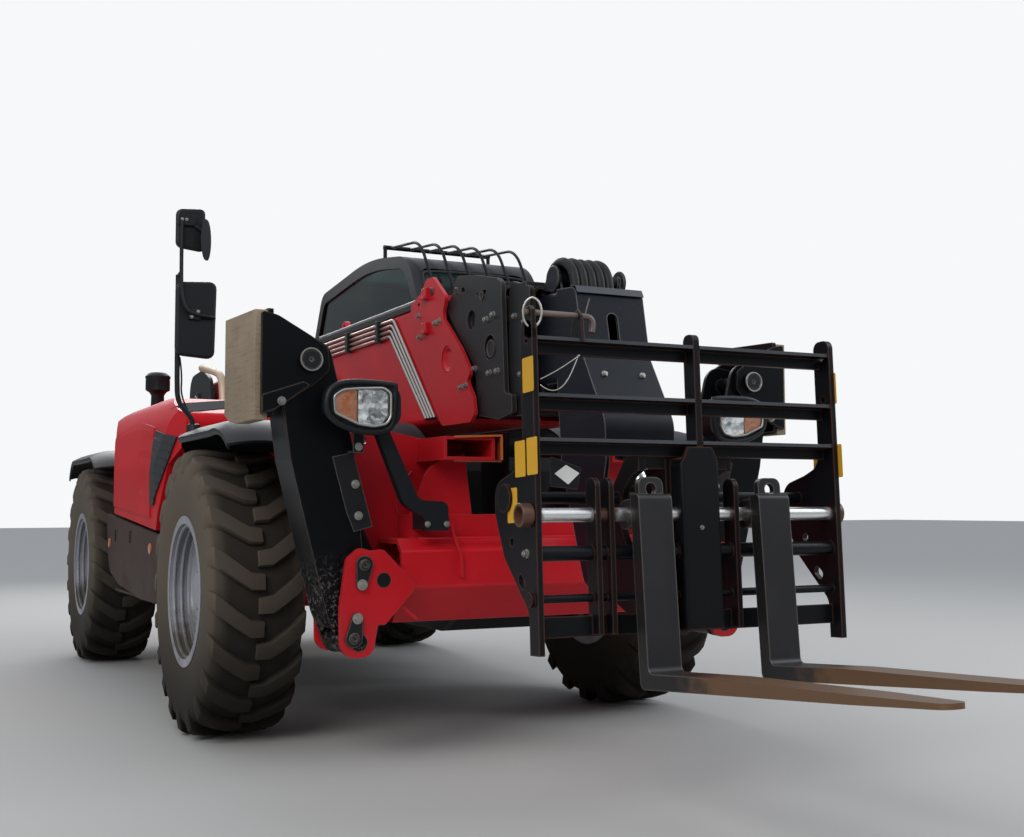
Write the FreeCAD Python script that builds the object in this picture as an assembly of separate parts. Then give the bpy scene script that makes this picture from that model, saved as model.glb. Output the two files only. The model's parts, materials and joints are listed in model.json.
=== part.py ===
import FreeCAD, Part
import math
import os

V = FreeCAD.Vector

# Telehandler with a four-section boom, a floating-fork carriage and two front stabilisers.
# Millimetres. X points to the machine's left, Y to its rear and Z up.
# A station is a distance ahead of the front axle, so a larger station is nearer the fork tips.
# A side is -1 on the machine's right and +1 on its left.

# Running gear
WHEELBASE = 3070
WHEEL_X = 1010
TYRE_RADIUS = 625
TYRE_WIDTH = 400
TYRE_WALL = 34
RIM_RADIUS = 305
RIM_WALL = 12
RIM_INSET = 28
KINGPIN_X = 800
KINGPIN_RADIUS = 34
SPINDLE_RADIUS = 62
YOKE_REACH = 100
ARCH_RADIUS = 800

# Frame
FRAME_HALF = 310
FRAME_WALL = 25
FRAME_BOTTOM = 480
FRAME_TOP = 960
FRAME_FRONT = 915
REAR_OVERHANG = 920
FRAME_REAR = -(WHEELBASE + REAR_OVERHANG)
TOWER_BOSS = 12
COUNTERWEIGHT_DEPTH = 90
HITCH_LOW = 650
HITCH_HIGH = 760
HITCH_PLATE = 22
HITCH_BORE = 16.5
BEAM_HALF = 640
EAR_THICK = 25
LEG_STATION = 1050
LEG_WIDTH = 200
EAR_GAP = 270

# Boom
BOOM_PIVOT = (FRAME_REAR + 290, 1740)
BOOM_PIN_RADIUS = 45
BOOM_HALF = 240
BOOM_BOTTOM = 1350
BOOM_TOP = 1900
BOOM_WALL = 10
SECTION_STEP = 32
BOOM_FRONT = 600

# Carriage and forks
TILT_PIVOT = (1840, 800)
TILT_PIN_RADIUS = 32
CARRIAGE_LEAN = 2.5
CARRIAGE_HALF = 600
CARRIAGE_FRONT = 2200
CARRIAGE_TOP = 1560
CARRIAGE_BOTTOM = 520
SHAFT = (2160, 950)
SHAFT_RADIUS = 22.5
FORK_LENGTH = 1200
FORK_WIDTH = 125
FORK_THICK = 50
FORK_REST = 2.5
FORK_SWING = 145
FORK_PLACES = {"fork_right": -200, "fork_left": 270}

# Cylinders, each as (station, height) of its base pin and of its rod's eye
LIFT_BASE = (FRAME_REAR + 540, 900)
LIFT_EYE = (LIFT_BASE[0] + 1150, 1200)
TILT_BASE = (1480, 1660)
TILT_EYE = (1900, 980)
# Stabilisers, each as (distance from the middle, height)
LEG_PIVOT = (815, 495)
LEG_ANGLE = 79.9
LEG_LENGTH = 1051
LEG_CYLINDER_BASE = (720, 720)
LEG_CYLINDER_SHARE = 0.80

# Cab and covers
CAB_INNER_X = 340
CAB_OUTER_X = 1150
CAB_WALL = 40
CAB_FLOOR = 780
CAB_ROOF = 2540
CAB_FRONT = -640
CAB_REAR = -2985
CAB_ARCH = ARCH_RADIUS + 50
WINDOW_EDGE = 72
WINDOW_SILL = 1560
DOOR_BACK = -2330
DOOR_EDGE = 70
DOOR_BOTTOM = 860
GLASS = 8
HOOD_INNER_X = 350
HOOD_OUTER_X = 1150
HOOD_WALL = 12
HOOD_HINGE = (-338, 1632)
HOOD_HINGE_STATIONS = (-1050, -2250)
FENDER_THICK = 28
FENDER_RISE = 735
FENDER_TOP = TYRE_RADIUS + FENDER_RISE

# Clearances
PIN_CLEAR = 0.3
SEAT_CLEAR = 0.3
FIT_CLEAR = 0.5
MOVE_CLEAR = 6

FORK_REACH = CARRIAGE_FRONT + FORK_THICK + FORK_LENGTH
REAR_END = FRAME_REAR - COUNTERWEIGHT_DEPTH
FRONT_AXLE_Y = (FORK_REACH + REAR_END) / 2


def y_of(station):
    return FRONT_AXLE_Y - station


def corner_arc(before, corner, after, radius):
    """Start, middle and end of the arc that rounds a corner."""
    u = (before[0] - corner[0], before[1] - corner[1])
    w = (after[0] - corner[0], after[1] - corner[1])
    lu = math.hypot(*u)
    lw = math.hypot(*w)
    u = (u[0] / lu, u[1] / lu)
    w = (w[0] / lw, w[1] / lw)
    half = math.acos(max(-1, min(1, u[0] * w[0] + u[1] * w[1]))) / 2
    run = min(radius / math.tan(half), 0.49 * lu, 0.49 * lw)
    radius = run * math.tan(half)
    bisector = (u[0] + w[0], u[1] + w[1])
    length = math.hypot(*bisector)
    reach = radius / math.sin(half) - radius
    start = (corner[0] + u[0] * run, corner[1] + u[1] * run)
    middle = (corner[0] + bisector[0] / length * reach, corner[1] + bisector[1] / length * reach)
    end = (corner[0] + w[0] * run, corner[1] + w[1] * run)
    return start, middle, end


def outline(points, place):
    """Closed wire through points (a, b) or (a, b, radius), set in space by place(a, b)."""
    pieces = []
    count = len(points)
    for index, point in enumerate(points):
        before = points[index - 1]
        after = points[(index + 1) % count]
        if len(point) == 3:
            pieces.append(corner_arc(before, point, after, point[2]))
        else:
            pieces.append((point[:2],))
    edges = []
    for index, piece in enumerate(pieces):
        if len(piece) == 3:
            edges.append(Part.Arc(*[place(*spot) for spot in piece]).toShape())
        start = place(*piece[-1])
        end = place(*pieces[(index + 1) % count][0])
        if start.distanceToPoint(end) > 1e-6:
            edges.append(Part.LineSegment(start, end).toShape())
    return Part.Wire(edges)


def prism(points, place, push, holes=(), margin=0):
    """Outline pushed along a vector, with round holes (a, b, radius); a margin grows the outline."""
    face = Part.Face(outline(points, place))
    if margin:
        face = Part.Face(face.OuterWire.makeOffset2D(margin))
    solid = face.extrude(push)
    for a, b, radius in holes:
        start = place(a, b) - push * 0.5
        solid = solid.cut(Part.makeCylinder(radius, push.Length * 2, start, push))
    return solid


def side_plate(points, x_low, x_high, holes=(), margin=0):
    """Plate whose outline is given as (station, height)."""
    return prism(points, lambda s, z: V(x_low, y_of(s), z), V(x_high - x_low, 0, 0), holes, margin)


def cross_plate(points, s_low, s_high, holes=()):
    """Plate across the machine whose outline is given as (x, height)."""
    return prism(points, lambda x, z: V(x, y_of(s_low), z), V(0, s_low - s_high, 0), holes)


def level_plate(points, z_low, z_high, holes=()):
    """Level plate whose outline is given as (x, station)."""
    return prism(points, lambda x, s: V(x, y_of(s), z_low), V(0, 0, z_high - z_low), holes)


def block(x_low, x_high, s_low, s_high, z_low, z_high):
    return Part.makeBox(x_high - x_low, s_high - s_low, z_high - z_low, V(x_low, y_of(s_high), z_low))


def spot(x, place):
    """Point in space from x and (station, height)."""
    return V(x, y_of(place[0]), place[1])


def bar(start, end, radius, bore=0):
    """Round bar or tube between two points in space."""
    solid = Part.makeCylinder(radius, (end - start).Length, start, end - start)
    if bore:
        solid = solid.cut(Part.makeCylinder(bore, (end - start).Length, start, end - start))
    return solid


def cross_bar(x_low, x_high, place, radius, bore=0):
    return bar(spot(x_low, place), spot(x_high, place), radius, bore)


def bent_bar(points, bend, radius, bore=0):
    """Round tube along straight runs joined by arcs of one bend radius."""
    edges = []
    last = points[0]
    for index in range(1, len(points) - 1):
        corner = points[index]
        u = (points[index - 1] - corner).normalize()
        w = (points[index + 1] - corner).normalize()
        half = u.getAngle(w) / 2
        run = bend / math.tan(half)
        bisector = (u + w).normalize()
        middle = corner + bisector * (bend / math.sin(half) - bend)
        edges.append(Part.LineSegment(last, corner + u * run).toShape())
        edges.append(Part.Arc(corner + u * run, middle, corner + w * run).toShape())
        last = corner + w * run
    edges.append(Part.LineSegment(last, points[-1]).toShape())
    path = Part.Wire(edges)
    along = points[1] - points[0]
    tube = path.makePipeShell([Part.Wire(Part.Circle(points[0], along, radius).toShape())], True, False)
    if bore:
        hole = path.makePipeShell([Part.Wire(Part.Circle(points[0], along, bore).toShape())], True, False)
        tube = tube.cut(hole)
    return tube


def fuse(*shapes):
    solid = shapes[0].multiFuse(list(shapes[1:])) if len(shapes) > 1 else shapes[0]
    return solid.removeSplitter()


def cut(shape, *tools):
    for tool in tools:
        shape = shape.cut(tool)
    return shape


def mirrored(shape):
    return shape.mirror(V(0, 0, 0), V(1, 0, 0))


def both_sides(shape):
    return [shape, mirrored(shape)]


def leaned(shape, place, degrees):
    """Turned about a cross axis at (station, height); a positive angle leans the top back."""
    turned = shape.copy()
    turned.rotate(spot(0, place), V(-1, 0, 0), degrees)
    return turned


def save(node, *shapes):
    """Write the solids of one node to its STEP file."""
    solids = []
    for shape in shapes:
        solids.extend(shape.Solids)
    whole = solids[0] if len(solids) == 1 else Part.makeCompound(solids)
    whole.exportStep("parts/" + node + ".step")


def turned_about_axle(points, side, station):
    """Ring about a wheel's axle; points are (distance outward from the wheel's middle, radius)."""
    place = lambda out, radius: V(side * (WHEEL_X + out), y_of(station), TYRE_RADIUS + radius)
    face = Part.Face(outline(points, place))
    return face.revolve(spot(0, (station, TYRE_RADIUS)), V(1, 0, 0), 360)


# Wheels: a hollow tyre on a dished rim, whose hub turns on the knuckle's spindle

def tyre(side, station):
    half = TYRE_WIDTH / 2
    bead = RIM_RADIUS + SEAT_CLEAR
    seat = half - RIM_INSET - SEAT_CLEAR
    outer = [(seat, bead), (seat, bead + 32, 10), (half, bead + 120, 70), (half, TYRE_RADIUS - 60, 40),
             (half - 80, TYRE_RADIUS, 60), (-half + 80, TYRE_RADIUS, 60),
             (-half, TYRE_RADIUS - 60, 40), (-half, bead + 120, 70), (-seat, bead + 32, 10), (-seat, bead)]
    wall = TYRE_WALL
    inner = [(-seat + wall, bead), (-half + wall, bead + 120), (-half + wall, TYRE_RADIUS - 75),
             (half - wall, TYRE_RADIUS - 75), (half - wall, bead + 120), (seat - wall, bead)]
    return turned_about_axle(outer + inner, side, station)


def rim(side, station):
    half = TYRE_WIDTH / 2 - RIM_INSET
    seat = RIM_RADIUS
    inner = seat - RIM_WALL
    lip = RIM_WALL
    disc_out = 60
    disc = 16
    step = 235
    hub = 135
    bore = SPINDLE_RADIUS + PIN_CLEAR
    points = [(-half, seat), (half, seat), (half, seat + 22), (half + lip, seat + 25), (half + lip, inner),
              (disc_out + 40, inner), (disc_out + 40, step), (disc_out, step - 25), (disc_out, hub + 30),
              (disc_out + 50, hub), (disc_out + 50, 0), (disc_out + 30, 0), (disc_out + 30, bore),
              (disc_out - 85, bore), (disc_out - 85, hub), (disc_out - disc, hub), (disc_out - disc, step - 15),
              (disc_out + 40 - disc, step + 12), (disc_out + 40 - disc, inner), (-half - lip, inner),
              (-half - lip, seat + 25), (-half, seat + 22)]
    return turned_about_axle(points, side, station)


def knuckle(side, station):
    """Steering knuckle: barrel on the kingpin, drum with the hub gears, and the spindle."""
    centre = (station, TYRE_RADIUS)
    pivot = spot(side * KINGPIN_X, centre)
    tall = YOKE_REACH - 3
    barrel = bar(pivot - V(0, 0, tall), pivot + V(0, 0, tall), 62)
    pin = bar(pivot - V(0, 0, YOKE_REACH + 48), pivot + V(0, 0, YOKE_REACH + 48), KINGPIN_RADIUS)
    neck = cross_bar(side * KINGPIN_X, side * (KINGPIN_X + 90), centre, 85)
    drum = cross_bar(side * (KINGPIN_X + 82), side * (WHEEL_X - 32), centre, 145)
    spindle = cross_bar(side * (WHEEL_X - 40), side * (WHEEL_X + 84), centre, SPINDLE_RADIUS)
    behind = -1 if station == 0 else 1
    arm = level_plate([(side * (KINGPIN_X - 20), station), (side * (KINGPIN_X + 40), station),
                       (side * (KINGPIN_X + 10), station + behind * 190, 20),
                       (side * (KINGPIN_X - 30), station + behind * 190, 20)], TYRE_RADIUS - 60, TYRE_RADIUS - 32)
    return fuse(barrel, pin, neck, drum, spindle, arm)


def axle(station):
    """Steering axle: differential housing, tapered arms and the yokes that hold the kingpins."""
    centre = (station, TYRE_RADIUS)
    housing = Part.makeSphere(185, spot(0, centre))
    housing = housing.common(block(-150, 150, station - 300, station + 300, 300, 900))
    nose = bar(spot(0, (station - 260, TYRE_RADIUS)), spot(0, (station + 60, TYRE_RADIUS)), 95)
    parts = [housing, nose]
    for side in (-1, 1):
        start = spot(side * 100, centre)
        end = spot(side * 680, centre)
        parts.append(Part.makeCone(125, 82, (end - start).Length, start, end - start))
        web = block(min(side * 665, side * 700), max(side * 665, side * 700), station - 75, station + 75,
                    TYRE_RADIUS - YOKE_REACH - 45, TYRE_RADIUS + YOKE_REACH + 45)
        parts.append(web)
        for level in (-1, 1):
            low = TYRE_RADIUS + (YOKE_REACH if level > 0 else -YOKE_REACH - 45)
            shape = [(side * 680, station - 75), (side * (KINGPIN_X + 62), station - 62, 55),
                     (side * (KINGPIN_X + 62), station + 62, 55), (side * 680, station + 75)]
            hole = [(side * KINGPIN_X, station, KINGPIN_RADIUS + PIN_CLEAR)]
            parts.append(level_plate(shape, low, low + 45, hole))
    body = fuse(*parts)
    behind = -1 if station == 0 else 1
    cylinder = cross_bar(-330, 330, (station + behind * 190, TYRE_RADIUS - 46), 42)
    link = block(-60, 60, station + min(0, behind) * 190, station + max(0, behind) * 190,
                 TYRE_RADIUS - 70, TYRE_RADIUS - 20)
    pads = [block(x, x + 90, station - 90, station + 90, TYRE_RADIUS - 145, TYRE_RADIUS + 145)
            for x in (-285, 195)]
    return fuse(body, cylinder, link, *pads)


# Frame

def tower_outline():
    back = FRAME_REAR
    return [(FRAME_FRONT, FRAME_BOTTOM + 60), (FRAME_FRONT, FRAME_TOP), (back + 1490, FRAME_TOP),
            (back + 870, 1240, 300), (back + 660, 1900, 120), (back + 430, 1985, 120), (back + 30, 1960, 140),
            (back, 1250), (back, FRAME_BOTTOM + 120, 60), (back + 290, FRAME_BOTTOM),
            (FRAME_FRONT - 115, FRAME_BOTTOM)]


def axle_tunnels():
    """Space that both axles take up between and under the side plates."""
    return [block(-400, 400, station - 300, station + 300, FRAME_BOTTOM - 60, TYRE_RADIUS + 145)
            for station in (0, -WHEELBASE)]


def frame_plates():
    """Side plates with the boom tower at the rear; the right one also carries the hood's posts."""
    hole = (BOOM_PIVOT[0], BOOM_PIVOT[1], BOOM_PIN_RADIUS + PIN_CLEAR)
    plate = side_plate(tower_outline(), FRAME_HALF - FRAME_WALL, FRAME_HALF, [hole])
    boss = cross_bar(FRAME_HALF, FRAME_HALF + TOWER_BOSS, BOOM_PIVOT, 95, hole[2])
    plate = fuse(cut(plate, *axle_tunnels()), boss)
    return [plate, fuse(mirrored(plate), *hood_posts())]


def frame_floor():
    """Floor, cross walls and the lift cylinder's ears, all between the two side plates."""
    inner = FRAME_HALF - FRAME_WALL
    parts = [block(-inner, inner, FRAME_REAR + 300, FRAME_FRONT - 115, FRAME_BOTTOM, FRAME_BOTTOM + 15)]
    for station in (FRAME_FRONT - 135, -900, FRAME_REAR + 1590):
        parts.append(block(-inner, inner, station, station + 20, FRAME_BOTTOM, 800))
    base = LIFT_BASE
    for x in (-115, 90):
        ear = [(base[0] - 110, FRAME_BOTTOM), (base[0] + 110, FRAME_BOTTOM),
               (base[0] + 70, base[1] + 65, 60), (base[0] - 70, base[1] + 65, 60)]
        parts.append(side_plate(ear, x, x + 25, [(base[0], base[1], 40 + PIN_CLEAR)]))
    rear_wall = block(-inner, inner, FRAME_REAR, FRAME_REAR + 20, FRAME_BOTTOM + 120, 1180)
    return [cut(fuse(*parts), *axle_tunnels()), rear_wall]


def front_beam():
    """Cross beam that carries the stabilisers: a channel open to the rear, with upper box and webs."""
    low = 550
    high = 870
    front = LEG_STATION + EAR_GAP / 2
    back = LEG_STATION - EAR_GAP / 2
    profile = [(back, low), (front - 95, low, 20), (front, low + 135, 30), (front, high - 46, 20),
               (front - 46, high), (back, high), (back, high - 20), (front - 54, high - 20),
               (front - 20, high - 54), (front - 20, low + 142), (front - 103, low + 20), (back, low + 20)]
    beam = side_plate(profile, -BEAM_HALF, BEAM_HALF)
    upper = block(-560, 560, back, front - 90, high, FRAME_TOP)
    upper = upper.cut(block(-540, 540, back - 1, front - 110, high + 1, FRAME_TOP - 20))
    webs = []
    for side in (-1, 1):
        points = [(side * (FRAME_HALF - 25), low), (side * (FRAME_HALF - 25), 1190), (side * 410, 1255, 30),
                  (side * 700, 1310, 30), (side * 760, 1290, 20), (side * 700, FRAME_TOP, 60),
                  (side * BEAM_HALF, low)]
        oval = [(side * 690, 1262, 14), (side * 742, 1282, 14), (side * 742, 1254, 14), (side * 690, 1234, 14)]
        web = cross_plate(points, back, back + 20)
        webs.append(web.cut(cross_plate(oval, back - 1, back + 21)))
        gusset = [(side * 300, FRAME_TOP - 1), (side * 330, 1200), (side * 480, 1160, 120),
                  (side * 560, FRAME_TOP - 1)]
        webs.append(cross_plate(gusset, front - 130, front - 110))
        tray = block(min(side * 265, side * 480), max(side * 265, side * 480), back + 20, front + 30, 1170, 1260)
        tray = tray.cut(block(min(side * 277, side * 468), max(side * 277, side * 468),
                              back + 32, front + 40, 1182, 1248))
        webs.append(tray)
    return fuse(beam, upper, *webs)


def ear_plates():
    """Four plates that hold the stabilisers' pins."""
    plates = []
    for side in (-1, 1):
        shape = [(594, 702, 20), (722, 834, 25), (772, 829, 20), (815, 842, 30), (864, 802, 30), (888, 624, 60),
                 (885, 440, 55), (762, 440, 50), (742, 560, 15), (717, 553, 30), (601, 678, 20)]
        points = [(side * x, *rest) for x, *rest in shape]
        holes = [(side * LEG_PIVOT[0], LEG_PIVOT[1], 32 + PIN_CLEAR),
                 (side * LEG_CYLINDER_BASE[0], LEG_CYLINDER_BASE[1], 28 + PIN_CLEAR)]
        for start in (LEG_STATION + EAR_GAP / 2, LEG_STATION - EAR_GAP / 2 - EAR_THICK):
            plates.append(cross_plate(points, start, start + EAR_THICK, holes))
    return plates


def counterweight():
    """Cast weight across the rear, with a pocket for the towing clevis and its bored plates."""
    points = [(-1040, 700, 80), (-700, 640, 60), (700, 640, 60), (1040, 700, 80), (1040, 1120, 120), (-1040, 1120, 120)]
    plan = level_plate([(-1040, REAR_END + 60), (-820, REAR_END, 60), (820, REAR_END, 60), (1040, REAR_END + 60),
                        (1040, FRAME_REAR), (-1040, FRAME_REAR)], 600, 1200)
    body = cross_plate(points, REAR_END, FRAME_REAR).common(plan)
    body = body.cut(block(-75, 75, REAR_END - 1, FRAME_REAR - 12, 639, 790))
    plates = []
    for low in (HITCH_LOW, HITCH_HIGH - HITCH_PLATE):
        plates.append(level_plate([(-75, REAR_END), (75, REAR_END), (75, FRAME_REAR - 12), (-75, FRAME_REAR - 12)],
                                  low, low + HITCH_PLATE, [(0, REAR_END + 42, HITCH_BORE)]))
    return fuse(body, *plates)


def fender(station, front, back, front_hang, back_hang):
    """Wheel cover over one axle end: a flat top that falls at both ends, with a lip that follows the tyre."""
    top = FENDER_TOP
    low = top - FENDER_THICK
    points = [(station + front, top - front_hang), (station + front - 60, top, 110),
              (station + back + 60, top, 110), (station + back, top - back_hang),
              (station + back + FENDER_THICK, top - back_hang), (station + back + 80, low, 85),
              (station + front - 80, low, 85), (station + front - FENDER_THICK, top - front_hang)]
    cover = side_plate(points, FRAME_HALF + 20, 1190)
    lip = block(1190 - 14, 1190, station + back + 80, station + front - 80, low - 70, low + 1)
    lip = lip.cut(cross_bar(1175, 1191, (station, TYRE_RADIUS), TYRE_RADIUS + 48))
    hanger = block(FRAME_HALF, FRAME_HALF + 22, station - 140, station + 140, 780, top - 10)
    return fuse(cover, lip, hanger)


# Boom: four box sections, one inside the other

SECTION_BACKS = (FRAME_REAR + 30, FRAME_REAR + 430, FRAME_REAR + 490, FRAME_REAR + 550)
SECTION_FRONTS = (BOOM_FRONT, BOOM_FRONT + 580, BOOM_FRONT + 770, BOOM_FRONT + 960)


def section_half(index):
    return BOOM_HALF - SECTION_STEP * index


def section_heights(index):
    return BOOM_BOTTOM + SECTION_STEP * index, BOOM_TOP - SECTION_STEP * index


def box_section(index):
    """Rectangular tube with rounded edges."""
    half = section_half(index)
    low, high = section_heights(index)
    points = [(-half, low, 30), (half, low, 30), (half, high, 30), (-half, high, 30)]
    wall = BOOM_WALL
    inner = [(-half + wall, low + wall, 20), (half - wall, low + wall, 20),
             (half - wall, high - wall, 20), (-half + wall, high - wall, 20)]
    back = SECTION_BACKS[index]
    front = SECTION_FRONTS[index]
    return cross_plate(points, back, front).cut(cross_plate(inner, back - 1, front + 1))


def wear_pads(index):
    """Pads inside a section's front end, on which the next section slides."""
    gap = SECTION_STEP - BOOM_WALL
    half = section_half(index) - BOOM_WALL
    low, high = section_heights(index)
    low += BOOM_WALL
    high -= BOOM_WALL
    thick = gap - SEAT_CLEAR
    back = SECTION_FRONTS[index] - 130
    front = SECTION_FRONTS[index] - 20
    pads = []
    for side in (-1, 1):
        for bottom in (low + 30, high - 130):
            pads.append(block(min(side * half, side * (half - thick)), max(side * half, side * (half - thick)),
                              back, front, bottom, bottom + 100))
    for x in (-half + 40, half - 140):
        pads.append(block(x, x + 100, back, front, low, low + thick))
        pads.append(block(x, x + 100, back, front, high - thick, high))
    return pads


def front_plates(index, upper, lower, holes, thick, top_run, bottom_run):
    """Plates on both sides of a section's front end, tied above and below it.

    Upper points are (ahead of the section's front, above its top, corner radius), lower points the
    same from its bottom, and holes are (ahead, above its bottom, radius).
    """
    half = section_half(index)
    low, high = section_heights(index)
    front = SECTION_FRONTS[index]
    points = [(front + s, high + z, radius) for s, z, radius in upper]
    points += [(front + s, low + z, radius) for s, z, radius in lower]
    plate = side_plate(points, half, half + thick, [(front + s, low + z, radius) for s, z, radius in holes])
    across = half + thick
    top = block(-across, across, front + top_run[0], front + top_run[1], high, high + thick)
    bottom = block(-across, across, front + bottom_run[0], front + bottom_run[1], low - thick, low)
    return fuse(plate, mirrored(plate), top, bottom)


def boom_outer():
    """Base section with its pivot pin, the lift cylinder's ears and a lifting eye."""
    low, high = section_heights(0)
    upper = [(-284, -60, 20), (-276, 3, 20), (-160, 43, 30), (-95, 96, 25), (-24, 94, 40), (114, -11, 30),
             (76, -96, 40)]
    lower = [(267, 299, 110), (364, 190, 25), (332, 153, 12), (391, 84, 25), (405, 15, 20), (364, -16, 12),
             (70, -16, 50)]
    plates = front_plates(0, upper, lower, [(129, 266, 58), (-184, 550, 15)], 16, (-260, -8), (90, 340))
    eye = LIFT_EYE
    ears = []
    for x in (80, -105):
        ear = [(eye[0] - 160, low + 1), (eye[0] + 160, low + 1), (eye[0] + 60, eye[1] - 60, 55),
               (eye[0] - 60, eye[1] - 60, 55)]
        ears.append(side_plate(ear, x, x + 25))
    pin_half = FRAME_HALF + TOWER_BOSS + 4
    pin = cross_bar(-pin_half, pin_half, BOOM_PIVOT, BOOM_PIN_RADIUS)
    hub_half = FRAME_HALF - FRAME_WALL - 9
    hub = cross_bar(-hub_half, hub_half, BOOM_PIVOT, 95)
    eyelet = side_plate([(-820, high - 1), (-700, high - 1), (-730, high + 75, 28), (-790, high + 75, 28)],
                        40 - BOOM_HALF, 64 - BOOM_HALF, [(-760, high + 45, 16)])
    back = block(-BOOM_HALF, BOOM_HALF, SECTION_BACKS[0], SECTION_BACKS[0] + 12, low, high)
    return fuse(box_section(0), plates, pin, hub, eyelet, back, *ears, *wear_pads(0))


def boom_second():
    upper = [(-523, -23, 30), (-463, 29, 20), (-404, 98, 25), (-221, 74, 20), (-23, 30, 20), (15, 7, 20)]
    lower = [(38, 140, 30), (44, 49, 20), (105, 41, 15), (110, -30, 12), (-13, -49, 20), (-222, -19, 20),
             (-195, 48, 25), (-235, 190, 60)]
    holes = [(-263, 379, 41), (-89, 245, 50), (-347, 509, 20), (-140, 480, 18), (-208, 480, 9)]
    plates = front_plates(1, upper, lower, holes, 20, (-410, -30), (-170, -20))
    return fuse(box_section(1), plates, *wear_pads(1))


def boom_third():
    upper = [(-159, 44, 20), (9, -2, 25)]
    lower = [(1, 149, 60), (-24, -75, 20), (-168, -71, 20), (-166, 278, 60)]
    plates = front_plates(2, upper, lower, [(-111, 318, 10)], 20, (-130, -20), (-140, -30))
    return fuse(box_section(2), plates, *wear_pads(2))


def boom_head():
    """Inner section with the goose-neck that holds the carriage's tilt pin."""
    low, high = section_heights(3)
    half = section_half(3)
    body = box_section(3)
    pivot = TILT_PIVOT
    neck = [(1500, high), (1640, high - 10, 40), (1690, 1540, 100), (1845, 1290, 120), (1850, 1150, 60),
            (1800, 950, 80), (pivot[0] + 75, pivot[1] + 20, 70), (pivot[0] + 30, pivot[1] - 75, 70),
            (1700, 690, 70), (1530, 1150, 250), (1500, low)]
    plate = side_plate(neck, half - 16, half, [(pivot[0], pivot[1], TILT_PIN_RADIUS + PIN_CLEAR)])
    face = side_plate(neck, -half + 1, half - 1).cut(side_plate(neck, -half, half, margin=-12))
    face = face.common(block(-half, half, 1560, 1900, 1190, high + 1))
    body = body.cut(block(-half + 12, half - 12, 1400, 1600, low - 1, low + 60))
    slot = cross_plate([(-22, 1570, 21), (22, 1570, 21), (22, 1700, 21), (-22, 1700, 21)], 1590, 1790)
    back_wall = block(-half + 10, half - 10, 1501, 1513, 1230, low - 4)
    ring = cross_bar(half, half + 8, pivot, 62, TILT_PIN_RADIUS + PIN_CLEAR)
    return fuse(body, plate, mirrored(plate), face.cut(slot), back_wall, ring, mirrored(ring))


def boom_pipes():
    """Four rigid hydraulic pipes on the right side of the boom."""
    pipes = []
    for index in range(4):
        drop = index * 24
        x = -BOOM_HALF - 8.5 - SEAT_CLEAR
        points = [spot(x, (-1050, 1868 - drop)), spot(x, (90 - drop * 0.6, 1868 - drop)),
                  spot(x, (585 - drop * 1.3, 1375))]
        pipes.append(bent_bar(points, 60, 8.5))
    return pipes


def hose_carrier():
    """Bundle of hoses bent over the roller on the boom's head."""
    hoses = []
    top = section_heights(3)[1]
    outer = section_half(3) - 34
    for index in range(6):
        x = outer * (index / 2.5 - 1)
        points = [spot(x, (1480, top + 15 + SEAT_CLEAR)), spot(x, (1660, top + 15 + SEAT_CLEAR)),
                  spot(x, (1735, top - 200))]
        hoses.append(bent_bar(points, 60, 15))
    return hoses


# Cylinders

def along(start, end, distance):
    direction = (end - start).normalize()
    return start + direction * distance


def barrel(base, eye, radius, pin_radius, width, length, pin_length, axis):
    """Cylinder barrel from its base pin towards the rod's eye."""
    bore = radius - 12
    head = along(base, eye, length)
    start = along(base, eye, radius * 0.8)
    tube = bar(start, head, radius, bore)
    cap = bar(along(base, eye, radius * 0.6), along(base, eye, radius * 0.8 + 20), radius)
    lug = bar(base - axis * (width / 2), base + axis * (width / 2), radius * 0.85)
    pin = bar(base - axis * (pin_length / 2), base + axis * (pin_length / 2), pin_radius)
    return fuse(tube, cap, lug, pin)


def rod(base, eye, radius, barrel_radius, start, eye_radius, width):
    """Piston rod from inside the barrel to its eye, with its pin's stub flush in the eye."""
    axis = V(1, 0, 0) if abs(eye.x - base.x) < 1e-6 else V(0, 1, 0)
    foot = along(base, eye, start)
    shank = bar(foot, eye, radius)
    piston = bar(foot, along(base, eye, start + 60), barrel_radius - 12 - FIT_CLEAR)
    ring = bar(eye - axis * (width / 2), eye + axis * (width / 2), eye_radius)
    return fuse(shank, piston, ring)


def lift_cylinder():
    base = spot(0, LIFT_BASE)
    eye = spot(0, LIFT_EYE)
    return barrel(base, eye, 78, 40, 170, 1030, 230, V(1, 0, 0)), rod(base, eye, 45, 78, 160, 60, 120)


def tilt_cylinder():
    base = spot(0, TILT_BASE)
    eye = spot(0, TILT_EYE)
    half = section_half(3)
    return barrel(base, eye, 55, 28, 90, 560, 2 * half - 32 - 2 * SEAT_CLEAR, V(1, 0, 0)), rod(base, eye, 30, 55, 110, 45, 70)


# Carriage and forks, drawn upright and then leaned back about the tilt pin

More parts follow.
